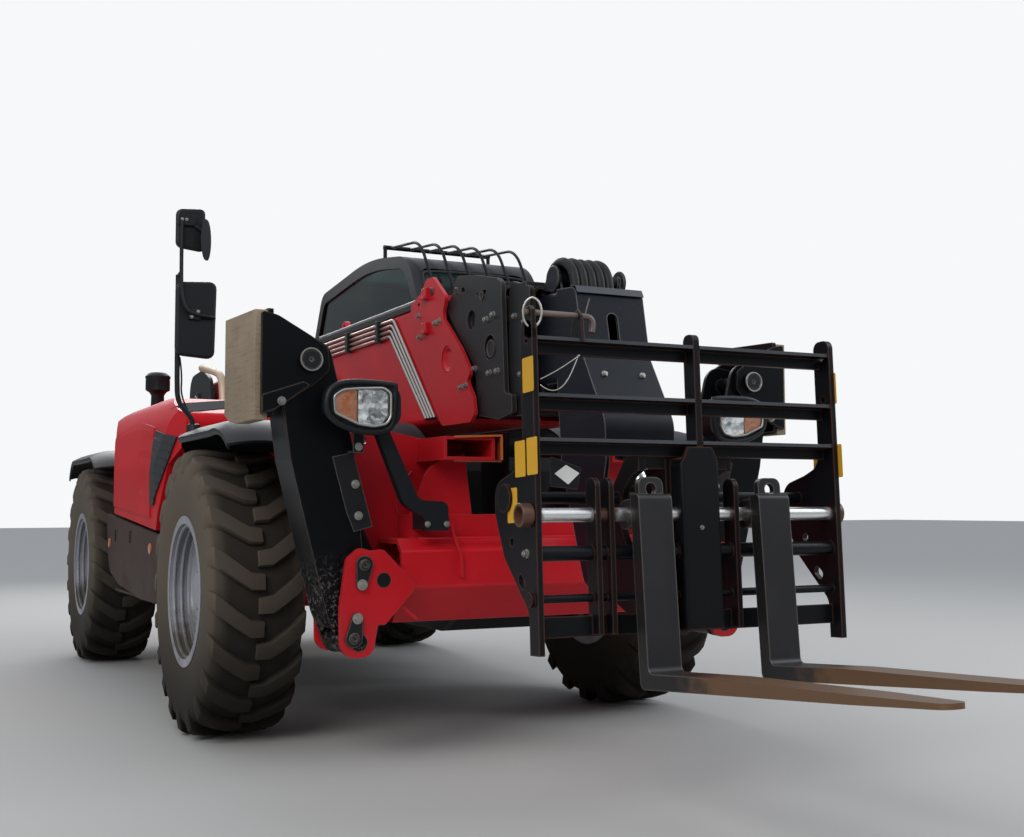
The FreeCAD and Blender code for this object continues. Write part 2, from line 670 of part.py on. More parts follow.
def carriage():
    front = CARRIAGE_FRONT
    high = CARRIAGE_TOP
    low = CARRIAGE_BOTTOM
    cheek = [(front, low), (front, high, 30), (front - 80, high, 30), (front - 80, 1120, 60),
             (front - 160, 1090, 60), (front - 285, 1060, 70), (front - 285, 960, 70), (front - 225, 820, 80),
             (front - 60, 650, 60), (front - 60, low)]
    holes = [(SHAFT[0], SHAFT[1], SHAFT_RADIUS + PIN_CLEAR)]
    small = [(front - 170, 870, 14), (front - 40, high - 60, 12), (front - 40, high - 210, 12)]
    plate = side_plate(cheek, CARRIAGE_HALF - 20, CARRIAGE_HALF, holes + small)
    slot = [(front - 135, 745, 18), (front - 98, 715, 18), (front - 80, 740, 18), (front - 118, 775, 18)]
    plate = plate.cut(side_plate(slot, CARRIAGE_HALF - 21, CARRIAGE_HALF + 1))
    parts = [plate, mirrored(plate)]
    inner = CARRIAGE_HALF - 20
    for height in (1460, 1280, 1140):
        bar_shape = [(front - 66, height + 50), (front - 6, height + 50), (front - 6, height + 38),
                     (front - 52, height + 38), (front - 52, height), (front - 66, height)]
        parts.append(side_plate(bar_shape, -inner, inner))
    parts.append(block(-inner, inner, front - 60, front - 44, 570, 635))
    for place, radius in (((front - 40, 830), 24), ((front - 40, 690), 13), ((front - 200, 1012), 20)):
        parts.append(cross_bar(-inner, inner, place, radius))
    for x in (-385, -335, 150):
        rib = [(front - 66, 575), (front - 4, 575), (front - 4, 1068, 30), (front - 66, 1068, 30)]
        parts.append(side_plate(rib, x, x + 18, holes))
    channel = level_plate([(-62, front - 70), (-62, front + 4, 14), (90, front + 4, 14), (90, front - 70),
                           (78, front - 70), (78, front - 8), (-50, front - 8), (-50, front - 70)], 575, 1170)
    channel = channel.common(cross_plate([(-62, 574), (90, 574), (90, 1110), (62, 1170), (-34, 1170), (-62, 1110)],
                                         front - 80, front + 10))
    parts.append(channel.cut(cross_bar(-63, 91, SHAFT, SHAFT_RADIUS + PIN_CLEAR)))
    spine = [(front - 66, 1140), (front - 6, 1140), (front - 6, high - 10, 25), (front - 66, high - 10, 25)]
    parts.append(side_plate(spine, 10, 34))
    for side in (-1, 1):
        for place, radius in (((front - 200, 1010), 46), ((front - 40, 690), 24)):
            parts.append(cross_bar(side * inner, side * (CARRIAGE_HALF + 12), place, radius))
    pivot = TILT_PIVOT
    for side in (-1, 1):
        x = 160 if side > 0 else -185
        lug = [(front - 62, 600), (front - 62, 1190), (front - 100, 1190, 40), (pivot[0] - 20, pivot[1] + 90, 70),
               (pivot[0] - 75, pivot[1], 70), (pivot[0], pivot[1] - 75, 70), (front - 100, 600, 40)]
        lug_plate = side_plate(lug, x, x + 25, [(pivot[0], pivot[1], TILT_PIN_RADIUS + PIN_CLEAR)])
        parts.append(lug_plate.cut(cross_bar(x - 1, x + 26, SHAFT, FORK_SWING)))
        stub = [(front - 68, 1100), (front - 68, 900), (TILT_EYE[0] - 30, TILT_EYE[1] - 60, 50),
                (TILT_EYE[0] - 40, TILT_EYE[1] + 60, 50)]
        x = 60 if side > 0 else -80
        parts.append(side_plate(stub, x, x + 20))
    cross = block(-185, 185, front - 84, front - 64, 1100, 1190)
    parts.append(cross)
    post = [(front - 84, 640), (front - 62, 640), (front - 62, 1190), (front - 84, 1190)]
    for x in (-80, 60):
        parts.append(side_plate(post, x, x + 20, holes))
    return leaned(fuse(*parts), TILT_PIVOT, CARRIAGE_LEAN)


def tilt_pin():
    return cross_bar(-192, 192, TILT_PIVOT, TILT_PIN_RADIUS)


def fork_shaft():
    rod_part = cross_bar(-CARRIAGE_HALF - 70, CARRIAGE_HALF + 25, SHAFT, SHAFT_RADIUS)
    nut = cross_bar(-CARRIAGE_HALF - 62, -CARRIAGE_HALF - 30, SHAFT, 50)
    washer = cross_bar(-CARRIAGE_HALF - 30, -CARRIAGE_HALF - 1, SHAFT, 36)
    ring = cross_bar(CARRIAGE_HALF + 1, CARRIAGE_HALF + 18, SHAFT, 40)
    return leaned(fuse(rod_part, nut, washer, ring), TILT_PIVOT, CARRIAGE_LEAN)


def fork(x_middle):
    """Forged fork hung on the shaft by its eye."""
    back = CARRIAGE_FRONT + MOVE_CLEAR
    front = back + FORK_THICK
    low = 400
    tip = front + FORK_LENGTH
    half = FORK_WIDTH / 2
    side = [(back, low, 25), (tip, low), (tip, low + 14), (front + 350, low + FORK_THICK - 4),
            (front, low + FORK_THICK, 20), (front, 1010, 20), (back, 1010, 5)]
    blade = side_plate(side, x_middle - half, x_middle + half)
    taper = level_plate([(x_middle - half, back), (x_middle + half, back), (x_middle + half, tip - 300),
                         (x_middle + 38, tip, 35), (x_middle - 38, tip, 35), (x_middle - half, tip - 300)], low - 10, 1100)
    blade = blade.common(taper)
    eye = cross_bar(x_middle - half + 10, x_middle + half - 10, SHAFT, 48)
    bridge = block(x_middle - half + 10, x_middle + half - 10, SHAFT[0], back + 10, SHAFT[1] - 20, SHAFT[1] + 48)
    loop = cross_plate([(x_middle - 46, 1009), (x_middle + 46, 1009), (x_middle + 46, 1064, 44),
                        (x_middle - 46, 1064, 44)], back + 6, back + 28, [(x_middle, 1026, 19)])
    shape = fuse(blade, eye, bridge, loop)
    shape = shape.cut(cross_bar(x_middle - half, x_middle + half, SHAFT, SHAFT_RADIUS + PIN_CLEAR))
    shape = leaned(shape, SHAFT, FORK_REST)
    return leaned(shape, TILT_PIVOT, CARRIAGE_LEAN)


# Stabilisers

def leg_point(side, distance, offset=0):
    """Point in (x, height) on a folded leg, from its pivot along it and outward across it."""
    angle = math.radians(LEG_ANGLE)
    q = LEG_PIVOT[0] + math.cos(angle) * distance + math.sin(angle) * offset
    z = LEG_PIVOT[1] + math.sin(angle) * distance - math.cos(angle) * offset
    return side * q, z


def leg_outline(side, spots):
    return [leg_point(side, *spot_[:2]) + tuple(spot_[2:]) for spot_ in spots]


def leg(side):
    """Box leg open to the inside, with the foot's pin at its upper end when folded."""
    half = LEG_WIDTH / 2
    shape = [(-50, -55, 50), (-60, 45, 50), (120, 85, 60), (700, 125, 80), (1130, 110, 60),
             (1130, -90, 80), (700, -120, 80), (150, -75, 60)]
    pivot = (side * LEG_PIVOT[0], LEG_PIVOT[1], 32)
    cheeks = [cross_plate(leg_outline(side, shape), LEG_STATION - half, LEG_STATION - half + 14),
              cross_plate(leg_outline(side, shape), LEG_STATION + half - 14, LEG_STATION + half)]
    web_shape = [(60, 52), (120, 70, 60), (700, 111, 80), (1000, 106), (1000, 120), (700, 125, 80), (120, 85, 60),
                 (60, 66)]
    web = cross_plate(leg_outline(side, web_shape), LEG_STATION - half + 13, LEG_STATION + half - 13)
    pin_low = spot(pivot[0], (LEG_STATION - EAR_GAP / 2 - EAR_THICK, pivot[1]))
    pin_high = spot(pivot[0], (LEG_STATION + EAR_GAP / 2 + EAR_THICK, pivot[1]))
    pin = bar(pin_low, pin_high, 32)
    tube = bar(spot(pivot[0], (LEG_STATION - EAR_GAP / 2 + 4, pivot[1])),
               spot(pivot[0], (LEG_STATION + EAR_GAP / 2 - 4, pivot[1])), 52)
    foot_x, foot_z = leg_point(side, LEG_LENGTH)
    foot_pin = bar(spot(foot_x, (LEG_STATION - half - 40, foot_z)), spot(foot_x, (LEG_STATION + half + 40, foot_z)), 34)
    return fuse(*cheeks, web, tube, pin, foot_pin)


def leg_cylinder(side):
    x, z = side * LEG_CYLINDER_BASE[0], LEG_CYLINDER_BASE[1]
    base = spot(x, (LEG_STATION, z))
    eye_x, eye_z = leg_point(side, LEG_CYLINDER_SHARE * 1000)
    eye = spot(eye_x, (LEG_STATION, eye_z))
    body = barrel(base, eye, 50, 28, 110, 510, EAR_GAP + 2 * EAR_THICK, V(0, 1, 0))
    return body, rod(base, eye, 28, 50, 90, 42, 90)


def foot(side):
    """Foot with two cheeks on the leg's pin and a sole plate, standing on edge when folded."""
    foot_x, foot_z = leg_point(side, LEG_LENGTH)
    half = LEG_WIDTH / 2
    sole_in = side * 1134
    shape = [(side * 905, foot_z - 70, 60), (side * 905, foot_z + 70, 60), (side * 960, foot_z + 110, 40),
             (sole_in, foot_z + 190), (sole_in, foot_z - 210), (side * 1060, foot_z - 215, 40)]
    hole = [(foot_x, foot_z, 34 + PIN_CLEAR)]
    cheeks = [cross_plate(shape, LEG_STATION - half - 24, LEG_STATION - half - 8, hole),
              cross_plate(shape, LEG_STATION + half + 8, LEG_STATION + half + 24, hole)]
    plate = block(min(side * 1132, side * 1152), max(side * 1132, side * 1152),
                  LEG_STATION - 240, LEG_STATION + 200, foot_z - 215, foot_z + 195)
    return fuse(*cheeks, plate)


def foot_board(side):
    x = (side * 1152, side * 1202)
    return block(min(x), max(x), LEG_STATION - 260, LEG_STATION + 220, 1305, 1720)


# Cab

CAB_PROFILE = [(CAB_FRONT, CAB_FLOOR), (CAB_FRONT, 1506, 300), (CAB_FRONT - 572, CAB_ROOF - 79, 280),
               (-1850, CAB_ROOF + 12, 2500), (-2790, CAB_ROOF - 78, 130), (CAB_REAR, CAB_ROOF - 430, 200),
               (CAB_REAR + 25, CAB_FLOOR)]


def arches(radius, x_low, x_high):
    return [cross_bar(x_low, x_high, (station, TYRE_RADIUS), radius) for station in (0, -WHEELBASE)]


def cab_solid(inset, x_low, x_high):
    """Cab's side outline moved inward by an inset, with the wheels' arches cut out."""
    whole = side_plate(CAB_PROFILE, x_low, x_high, margin=-inset)
    return cut(whole, *arches(CAB_ARCH + inset, x_low - 1, x_high + 1))


def side_window(x_low, x_high, inset):
    """Window that follows the cab's outline above a straight sill."""
    window = side_plate(CAB_PROFILE, x_low, x_high, margin=-WINDOW_EDGE - inset)
    return window.common(block(x_low, x_high, CAB_REAR, CAB_FRONT, WINDOW_SILL + inset, CAB_ROOF))


def door_shape(x_low, x_high, edge, low):
    """Prism of the door's outline, an edge's distance inside the cab's outline and the arches."""
    shape = cab_solid(edge, x_low, x_high)
    return shape.common(block(x_low, x_high, DOOR_BACK + edge, CAB_FRONT, low, CAB_ROOF))


def front_window(inset):
    inner = CAB_INNER_X + 60 + inset
    outer = CAB_OUTER_X - 60 - inset
    return cross_plate([(inner, 1450 + inset, 50), (outer, 1450 + inset, 50), (outer, CAB_ROOF - 150 - inset, 60),
                        (inner, CAB_ROOF - 150 - inset, 60)], CAB_FRONT - 600, CAB_FRONT + 60)


def rear_window(inset):
    inner = CAB_INNER_X + 60 + inset
    outer = CAB_OUTER_X - 60 - inset
    return cross_plate([(inner, 1620 + inset, 50), (outer, 1620 + inset, 50), (outer, CAB_ROOF - 480 - inset, 60),
                        (inner, CAB_ROOF - 480 - inset, 60)], CAB_REAR - 60, CAB_REAR + 90)


def roof_window(inset):
    inner = CAB_INNER_X + 60 + inset
    outer = CAB_OUTER_X - 60 - inset
    return level_plate([(inner, -1400 - inset, 40), (outer, -1400 - inset, 40), (outer, -2330 + inset, 40),
                        (inner, -2330 + inset, 40)], CAB_ROOF - 110, CAB_ROOF + 60)


def cab_frame():
    shell = cab_solid(0, CAB_INNER_X, CAB_OUTER_X)
    shell = shell.cut(cab_solid(CAB_WALL, CAB_INNER_X + CAB_WALL, CAB_OUTER_X - CAB_WALL))
    low = DOOR_BOTTOM - MOVE_CLEAR
    door_hole = door_shape(CAB_OUTER_X - CAB_WALL - 1, CAB_OUTER_X + 1, DOOR_EDGE - MOVE_CLEAR, low)
    side_hole = side_window(CAB_INNER_X - 1, CAB_INNER_X + CAB_WALL + 1, 0)
    return cut(shell, door_hole, side_hole, front_window(0), rear_window(0), roof_window(0))


def cab_glass():
    """Panes of the right side, windscreen, rear and roof, each inside its frame."""
    side = side_window(CAB_INNER_X + 14, CAB_INNER_X + 14 + GLASS, FIT_CLEAR)
    skin = side_plate(CAB_PROFILE, CAB_INNER_X, CAB_OUTER_X, margin=-14)
    skin = skin.cut(side_plate(CAB_PROFILE, CAB_INNER_X - 1, CAB_OUTER_X + 1, margin=-14 - GLASS))
    return [side] + [skin.common(window(FIT_CLEAR)) for window in (front_window, rear_window, roof_window)]


def cab_door():
    low = CAB_OUTER_X - CAB_WALL
    panel = door_shape(low, CAB_OUTER_X, DOOR_EDGE, DOOR_BOTTOM)
    panel = panel.cut(door_shape(low - 1, CAB_OUTER_X + 1, DOOR_EDGE + 80, 1480))
    handle = block(CAB_OUTER_X - 1, CAB_OUTER_X + 22, -1180, -1060, 1340, 1370)
    hinge = (DOOR_BACK + 55, CAB_OUTER_X + 14)
    parts = [panel, handle]
    for z in (1150, 2000):
        parts.append(bar(spot(hinge[1], (hinge[0], z)), spot(hinge[1], (hinge[0], z + 90)), 12))
        parts.append(block(CAB_OUTER_X, CAB_OUTER_X + 8, hinge[0], hinge[0] + 75, z + 5, z + 85))
    return fuse(*parts)


def door_glass():
    low = CAB_OUTER_X - CAB_WALL + 16
    return door_shape(low, low + GLASS, DOOR_EDGE + 80 + FIT_CLEAR, 1480 + FIT_CLEAR)


def roof_guard():
    """Cross bar over the roof with curved bars that fall in front of the windscreen."""
    lift = CAB_ROOF + 64
    start = -1700
    end = (CAB_FRONT - 302, CAB_ROOF - 400)
    bars = [cross_bar(CAB_INNER_X + 40, CAB_OUTER_X - 40, (start, lift), 14)]
    bars.append(cross_bar(CAB_INNER_X + 62, CAB_OUTER_X - 62, end, 13))
    for x in (CAB_INNER_X + 50, CAB_OUTER_X - 50):
        bars.append(bar(spot(x, (start, CAB_ROOF - 60)), spot(x, (start, lift)), 12))
        bars.append(bar(spot(x, (end[0], end[1] + 4)), spot(x, (end[0] - 90, end[1] - 50)), 10))
    for index in range(6):
        x = CAB_INNER_X + 90 + index * (CAB_OUTER_X - CAB_INNER_X - 180) / 5
        bars.append(bent_bar([spot(x, (start - 3, lift)), spot(x, (CAB_FRONT - 590, lift - 44)), spot(x, end)], 250, 9))
    return fuse(*bars).cut(cab_solid(0, CAB_INNER_X, CAB_OUTER_X))


def cab_seat():
    x_low = 520
    x_high = 990
    cushion = side_plate([(-1650, 1190, 50), (-1650, 1300, 50), (-2180, 1290, 30), (-2180, 1190, 30)], x_low, x_high)
    back = side_plate([(-2130, 1295, 30), (-2250, 2010, 60), (-2370, 2000, 60), (-2270, 1240, 30), (-2190, 1240, 20)],
                      x_low + 20, x_high - 20)
    base = block(x_low + 80, x_high - 80, -2130, -1730, CAB_FLOOR + CAB_WALL, 1195)
    return fuse(cushion, back, base)


def cab_controls():
    """Steering wheel on its column behind the dash, and the console beside the seat."""
    middle = 755
    floor = CAB_FLOOR + CAB_WALL
    column = bar(spot(middle, (-1150, floor + 14)), spot(middle, (-1280, 1500)), 38)
    centre = (-1290, 1530)
    wheel = Part.makeTorus(180, 15, spot(middle, centre), V(0, -0.25, 1))
    spokes = [bar(spot(middle - 175, centre), spot(middle + 175, centre), 12),
              bar(spot(middle, (-1280, 1490)), spot(middle, (-1290, 1545)), 26)]
    dash = side_plate([(-960, 1150), (-800, 1420, 40), (-1120, 1420, 40), (-1160, 1150)], 560, 950)
    foot_wall = block(560, 950, -1160, -1120, floor, 1200)
    side = CAB_INNER_X + CAB_WALL
    console = block(side, side + 120, -2000, -1300, floor, 1350)
    lever = bar(spot(side + 70, (-1420, 1340)), spot(side + 85, (-1400, 1490)), 14)
    return fuse(column, wheel, *spokes, dash, foot_wall), fuse(console, lever)


# Covers on the right side

def hood_outline(inset):
    i = inset
    return [(-2640 + i, 990 + i), (-900 - i, 875 + i), (-700 - i, 1200 + i), (-450 - i, 1300 + i),
            (-450 - i, 1440 - i, 60),
            (-1050, 1560 - i, 500), (-1900, 1620 - i, 500), (-2500, 1560 - i, 200), (-2640 + i, 1400, 150)]


def hood_solid(inset):
    i = inset
    side = cut(side_plate(hood_outline(i), -1300, -200), *arches(ARCH_RADIUS + i, -1301, -199))
    x_out = -HOOD_OUTER_X + i
    across = cross_plate([(-HOOD_INNER_X - i, 800), (-HOOD_INNER_X - i, 1900), (x_out + 330, 1640 - i, 200),
                          (x_out + 40, 1540 - i, 260), (x_out, 1200, 500), (x_out + 10, 800)], -2700, -400)
    plan = level_plate([(-200, -400), (x_out + 60, -400, 60), (x_out, -900, 400), (x_out, -2100, 500),
                        (x_out + 120, -2700, 100), (-200, -2700)], 700, 1800)
    return side.common(across).common(plan)


def engine_hood():
    opening, blades = hood_intake()
    shell = fuse(hood_solid(0).cut(hood_solid(HOOD_WALL)).cut(opening), *blades)
    inner_wall = block(-HOOD_INNER_X - HOOD_WALL - 1, -HOOD_INNER_X + 1, -2620, -480, 700, 1440)
    shell = shell.cut(inner_wall)
    lower_skin = block(-HOOD_OUTER_X + 150, -HOOD_INNER_X + 10, -2600, -470, 700, 1190)
    return fuse(shell.cut(lower_skin), *hood_hinge_bosses())


def hood_intake():
    """Air intake in the hood's side: an opening with level blades that follow the skin."""
    corners = [(-1375, 1330, 20), (-1265, 1385, 20), (-800, 1345, 20), (-1300, 1010, 20)]
    depth = (-HOOD_OUTER_X - 10, -HOOD_OUTER_X + 120)
    opening = side_plate(corners, *depth)
    blades = [block(*depth, -1400, -780, z, z + 9) for z in range(1052, 1370, 42)]
    grown = side_plate(corners, *depth, margin=5)
    band = hood_solid(3).cut(hood_solid(30)).common(grown)
    return opening, [band.common(blade) for blade in blades]


def hood_hinge_bosses():
    """Lugs on the hood's inner edge, bored for the hinge pins."""
    x, height = HOOD_HINGE
    lugs = []
    for station in HOOD_HINGE_STATIONS:
        eye = bar(spot(x, (station - 30, height)), spot(x, (station + 30, height)), 14)
        arm = block(x - 34, x, station - 30, station + 30, height - 95, height + 6)
        lug = fuse(eye, arm).cut(hood_solid(1))
        lugs.append(lug.cut(bar(spot(x, (station - 31, height)), spot(x, (station + 31, height)), 6 + PIN_CLEAR)))
    return lugs


def hood_posts():
    """Posts on the frame that carry the hood's hinge pins."""
    x, height = HOOD_HINGE
    posts = []
    for station in HOOD_HINGE_STATIONS:
        posts.append(block(x - 9, -FRAME_HALF + 1, station + 32, station + 46, FRAME_TOP - 60, height + 9))
        posts.append(bar(spot(x, (station - 30, height)), spot(x, (station + 40, height)), 6))
    return posts


def side_cover():
    """Lower panel under the hood with the tray that carries it."""
    points = [(-2350, 500, 40), (-2470, 960), (-760, 850), (-800, 500, 40)]
    wall = cut(side_plate(points, -HOOD_OUTER_X + 4, -HOOD_OUTER_X + 34), *arches(ARCH_RADIUS, -1200, -1000))
    tray = block(-HOOD_OUTER_X + 33, -FRAME_HALF, -2200, -900, 500, 515)
    return fuse(wall, tray)


def engine_block():
    return block(-940, -FRAME_HALF, -2150, -1130, 560, 1330)


def rear_cover():
    """Narrow cover behind the hood, between the boom and the rear wheel."""
    front = 415 - WHEELBASE
    points = [(front, FENDER_TOP), (front, 1520, 60), (front - 745, 1490, 200), (front - 1035, FENDER_TOP, 60)]
    return side_plate(points, -700, -FRAME_HALF - 20)


def fuel_tank():
    tank = side_plate([(-2210, 510, 40), (-2210, CAB_FLOOR), (-840, CAB_FLOOR), (-840, 510, 40)], FRAME_HALF, 960)
    steps = []
    for height in (520, 700):
        steps.append(block(955, 1140, -1900, -1150, height, height + 25))
    sides = [block(955, 1140, s, s + 12, 520, 725) for s in (-1900, -1162)]
    return fuse(tank, *steps, *sides)


def exhaust():
    points = [spot(-FRAME_HALF + 10, (-700, FRAME_TOP)), spot(-FRAME_HALF + 10, (-700, 1600)),
              spot(-FRAME_HALF + 10, (-840, 1680))]
    return bent_bar(points, 60, 30, 26)


def mirrors():
    """Driver's mirrors on poles at both front corners."""
    shapes = []
    pole = bar(spot(-1110, (-220, FENDER_TOP)), spot(-1110, (-220, 2330)), 12)
    low = cross_plate([(-1200, 1680, 40), (-1022, 1680, 40), (-1016, 2035, 40), (-1205, 2020, 40)], -205, -165)
    arm = bar(spot(-1110, (-220, 1800)), spot(-1110, (-190, 1800)), 10)
    high = cross_plate([(-1205, 2185, 40), (-1085, 2170, 40), (-1085, 2380, 40), (-1205, 2365, 40)], -200, -160)
    arm_high = bar(spot(-1110, (-220, 2300)), spot(-1110, (-190, 2300)), 10)
    shapes.append(fuse(pole, low, arm, high, arm_high))
    left_arm = bent_bar([spot(CAB_OUTER_X, (-900, 1840)), spot(CAB_OUTER_X + 35, (-900, 1840)),
                         spot(CAB_OUTER_X + 35, (-290, 1840))], 22, 12)
    left = cross_plate([(1022, 1680, 40), (1200, 1680, 40), (1205, 2020, 40), (1016, 2035, 40)], -310, -270)
    shapes.append(fuse(left_arm, left))
    return shapes


def headlamps():
    lamps = []
    for side in (-1, 1):
        points = [(side * 690, 1285, 50), (side * 690, 1440, 60), (side * 955, 1450, 70), (side * 965, 1330, 60),
                  (side * 870, 1268, 60)]
        housing = cross_plate(points, LEG_STATION + 150, LEG_STATION + 250)
        arm = [(side * 466, FRAME_TOP - 60), (side * 466, FRAME_TOP + 50, 30), (side * 585, FRAME_TOP + 55, 40),
               (side * 733, 1330), (side * 783, 1330), (side * 648, FRAME_TOP + 40, 60), (side * 566, FRAME_TOP - 10, 30),
               (side * 558, FRAME_TOP - 60)]
        front = LEG_STATION + EAR_GAP / 2
        stem = cross_plate(arm, front, front + 40)
        foot_block = block(min(side * 480, side * 560), max(side * 480, side * 560), front - 90, front + 1,
                           FRAME_TOP - 55, FRAME_TOP + 35)
        lamps.append(fuse(housing, stem, foot_block))
    return lamps


def build():
    os.makedirs("parts", exist_ok=True)
    save("frame_plates", *frame_plates())
    save("frame_floor", *frame_floor())
    save("front_beam", fuse(front_beam(), *ear_plates()))
    save("counterweight", counterweight())
    save("front_axle", axle(0))
    save("rear_axle", axle(-WHEELBASE))
    save("front_fenders", *both_sides(fender(0, 720, -390, 150, 100)))
    save("rear_fenders", *both_sides(fender(-WHEELBASE, 440, -700, 110, 150)))
    save("engine_block", engine_block())
    save("engine_hood", engine_hood())
    save("side_cover", side_cover())
    save("rear_cover", rear_cover())
    save("fuel_tank", fuel_tank())
    save("exhaust", exhaust())
    save("mirrors", *mirrors())
    save("headlamps", *headlamps())
    save("cab_frame", cab_frame())
    save("cab_glass", *cab_glass())
    save("cab_door", cab_door())
    save("door_glass", door_glass())
    save("cab_seat", cab_seat())
    save("cab_controls", *cab_controls())
    save("roof_guard", roof_guard())
    save("boom_outer", boom_outer())
    save("boom_second", boom_second())
    save("boom_third", boom_third())
    save("boom_head", boom_head())
    save("boom_pipes", *boom_pipes())
    save("hose_carrier", *hose_carrier())
    for name, pair in (("lift", lift_cylinder()), ("tilt", tilt_cylinder())):
        save(name + "_cylinder", pair[0])
        save(name + "_rod", pair[1])
    save("carriage_frame", carriage())
    save("tilt_pin", tilt_pin())
    save("fork_shaft", fork_shaft())
    for name, x_middle in FORK_PLACES.items():
        save(name, fork(x_middle))
    for word, side in (("right", -1), ("left", 1)):
        save("stabiliser_leg_" + word, leg(side))
        save("stabiliser_foot_" + word, foot(side))
        save("foot_board_" + word, foot_board(side))
        body, piston = leg_cylinder(side)
        save("stabiliser_cylinder_" + word, body)
        save("stabiliser_rod_" + word, piston)
        for end, station in (("front", 0), ("rear", -WHEELBASE)):
            place = "_" + end + "_" + word
            save("tyre" + place, tyre(side, station))
            save("rim" + place, rim(side, station))
            save("knuckle" + place, knuckle(side, station))


build()
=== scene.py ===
import json
import math
import random

import bmesh
import bpy
from mathutils import Matrix, Vector
from mathutils.bvhtree import BVHTree


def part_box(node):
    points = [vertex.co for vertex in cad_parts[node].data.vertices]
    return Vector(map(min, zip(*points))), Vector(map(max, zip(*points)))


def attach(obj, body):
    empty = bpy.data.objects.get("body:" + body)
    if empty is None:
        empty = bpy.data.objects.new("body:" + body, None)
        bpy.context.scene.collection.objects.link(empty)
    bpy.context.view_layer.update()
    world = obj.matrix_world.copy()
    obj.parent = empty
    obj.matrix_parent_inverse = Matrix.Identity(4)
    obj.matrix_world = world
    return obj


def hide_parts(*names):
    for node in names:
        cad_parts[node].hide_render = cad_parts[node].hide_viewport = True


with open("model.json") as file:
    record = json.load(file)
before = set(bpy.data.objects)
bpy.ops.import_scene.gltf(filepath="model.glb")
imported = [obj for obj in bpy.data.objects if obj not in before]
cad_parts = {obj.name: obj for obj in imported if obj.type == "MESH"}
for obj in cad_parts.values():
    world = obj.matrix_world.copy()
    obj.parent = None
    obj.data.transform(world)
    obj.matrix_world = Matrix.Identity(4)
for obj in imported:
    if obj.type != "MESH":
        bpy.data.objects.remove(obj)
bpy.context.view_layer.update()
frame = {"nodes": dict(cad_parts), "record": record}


# The machine stands on a plain pale floor under one broad sky light and two soft lamps.
# The camera is low at its right front corner, about three and a half metres from the forks.

bpy.context.scene.view_settings.view_transform = "Standard"

camera_data = bpy.data.cameras.new("camera")
camera_data.lens = 44.62
camera_data.sensor_width = 36
camera_data.sensor_fit = "HORIZONTAL"
camera = bpy.data.objects.new("camera", camera_data)
bpy.context.collection.objects.link(camera)
camera_place = Vector((-2.414, -5.962, 0.992))
camera_yaw = math.radians(26.64)
camera_pitch = math.radians(3.95)
camera_roll = math.radians(-0.155)
looks_along = Vector((math.sin(camera_yaw) * math.cos(camera_pitch),
                      math.cos(camera_yaw) * math.cos(camera_pitch), math.sin(camera_pitch)))
facing = looks_along.to_track_quat("-Z", "Y").to_matrix().to_4x4()
camera.matrix_world = Matrix.Translation(camera_place) @ facing @ Matrix.Rotation(camera_roll, 4, "Z")
bpy.context.scene.camera = camera

floor_mesh = bpy.data.meshes.new("floor")
floor_half = 60
floor_mesh.from_pydata([(-floor_half, -floor_half, 0), (floor_half, -floor_half, 0),
                        (floor_half, floor_half, 0), (-floor_half, floor_half, 0)], [], [(0, 1, 2, 3)])
floor = bpy.data.objects.new("floor", floor_mesh)
bpy.context.collection.objects.link(floor)
floor_paint = bpy.data.materials.new("pale_floor")
floor_paint.use_nodes = True
floor_shader = floor_paint.node_tree.nodes["Principled BSDF"]
floor_shader.inputs["Base Color"].default_value = (0.44, 0.43, 0.415, 1)
floor_shader.inputs["Roughness"].default_value = 0.85
floor_mesh.materials.append(floor_paint)

world = bpy.data.worlds.new("sky")
bpy.context.scene.world = world
world.use_nodes = True
sky = world.node_tree
sky_light = sky.nodes["Background"]
sky_light.inputs["Strength"].default_value = 0.80
sky_height = sky.nodes.new("ShaderNodeSeparateXYZ")
sky.links.new(sky.nodes.new("ShaderNodeTexCoord").outputs["Generated"], sky_height.inputs[0])
sky_ramp = sky.nodes.new("ShaderNodeMapRange")
sky_ramp.interpolation_type = "SMOOTHSTEP"
sky_ramp.inputs["From Min"].default_value = -0.05
sky_ramp.inputs["From Max"].default_value = 0.55
sky.links.new(sky_height.outputs["Z"], sky_ramp.inputs["Value"])
sky_colour = sky.nodes.new("ShaderNodeMix")
sky_colour.data_type = "RGBA"
sky.links.new(sky_ramp.outputs["Result"], sky_colour.inputs[0])
sky_colour.inputs[6].default_value = (0.13, 0.135, 0.14, 1)
sky_colour.inputs[7].default_value = (0.86, 0.92, 1.0, 1)
sky.links.new(sky_colour.outputs[2], sky_light.inputs["Color"])
backdrop = sky.nodes.new("ShaderNodeBackground")
backdrop.inputs["Color"].default_value = (0.93, 0.94, 0.95, 1)
rays = sky.nodes.new("ShaderNodeLightPath")
seen = sky.nodes.new("ShaderNodeMath")
seen.operation = "MAXIMUM"
sky.links.new(rays.outputs["Is Camera Ray"], seen.inputs[0])
sky.links.new(rays.outputs["Is Transmission Ray"], seen.inputs[1])
mix = sky.nodes.new("ShaderNodeMixShader")
sky.links.new(seen.outputs[0], mix.inputs["Fac"])
sky.links.new(sky_light.outputs[0], mix.inputs[1])
sky.links.new(backdrop.outputs[0], mix.inputs[2])
sky.links.new(mix.outputs[0], sky.nodes["World Output"].inputs["Surface"])

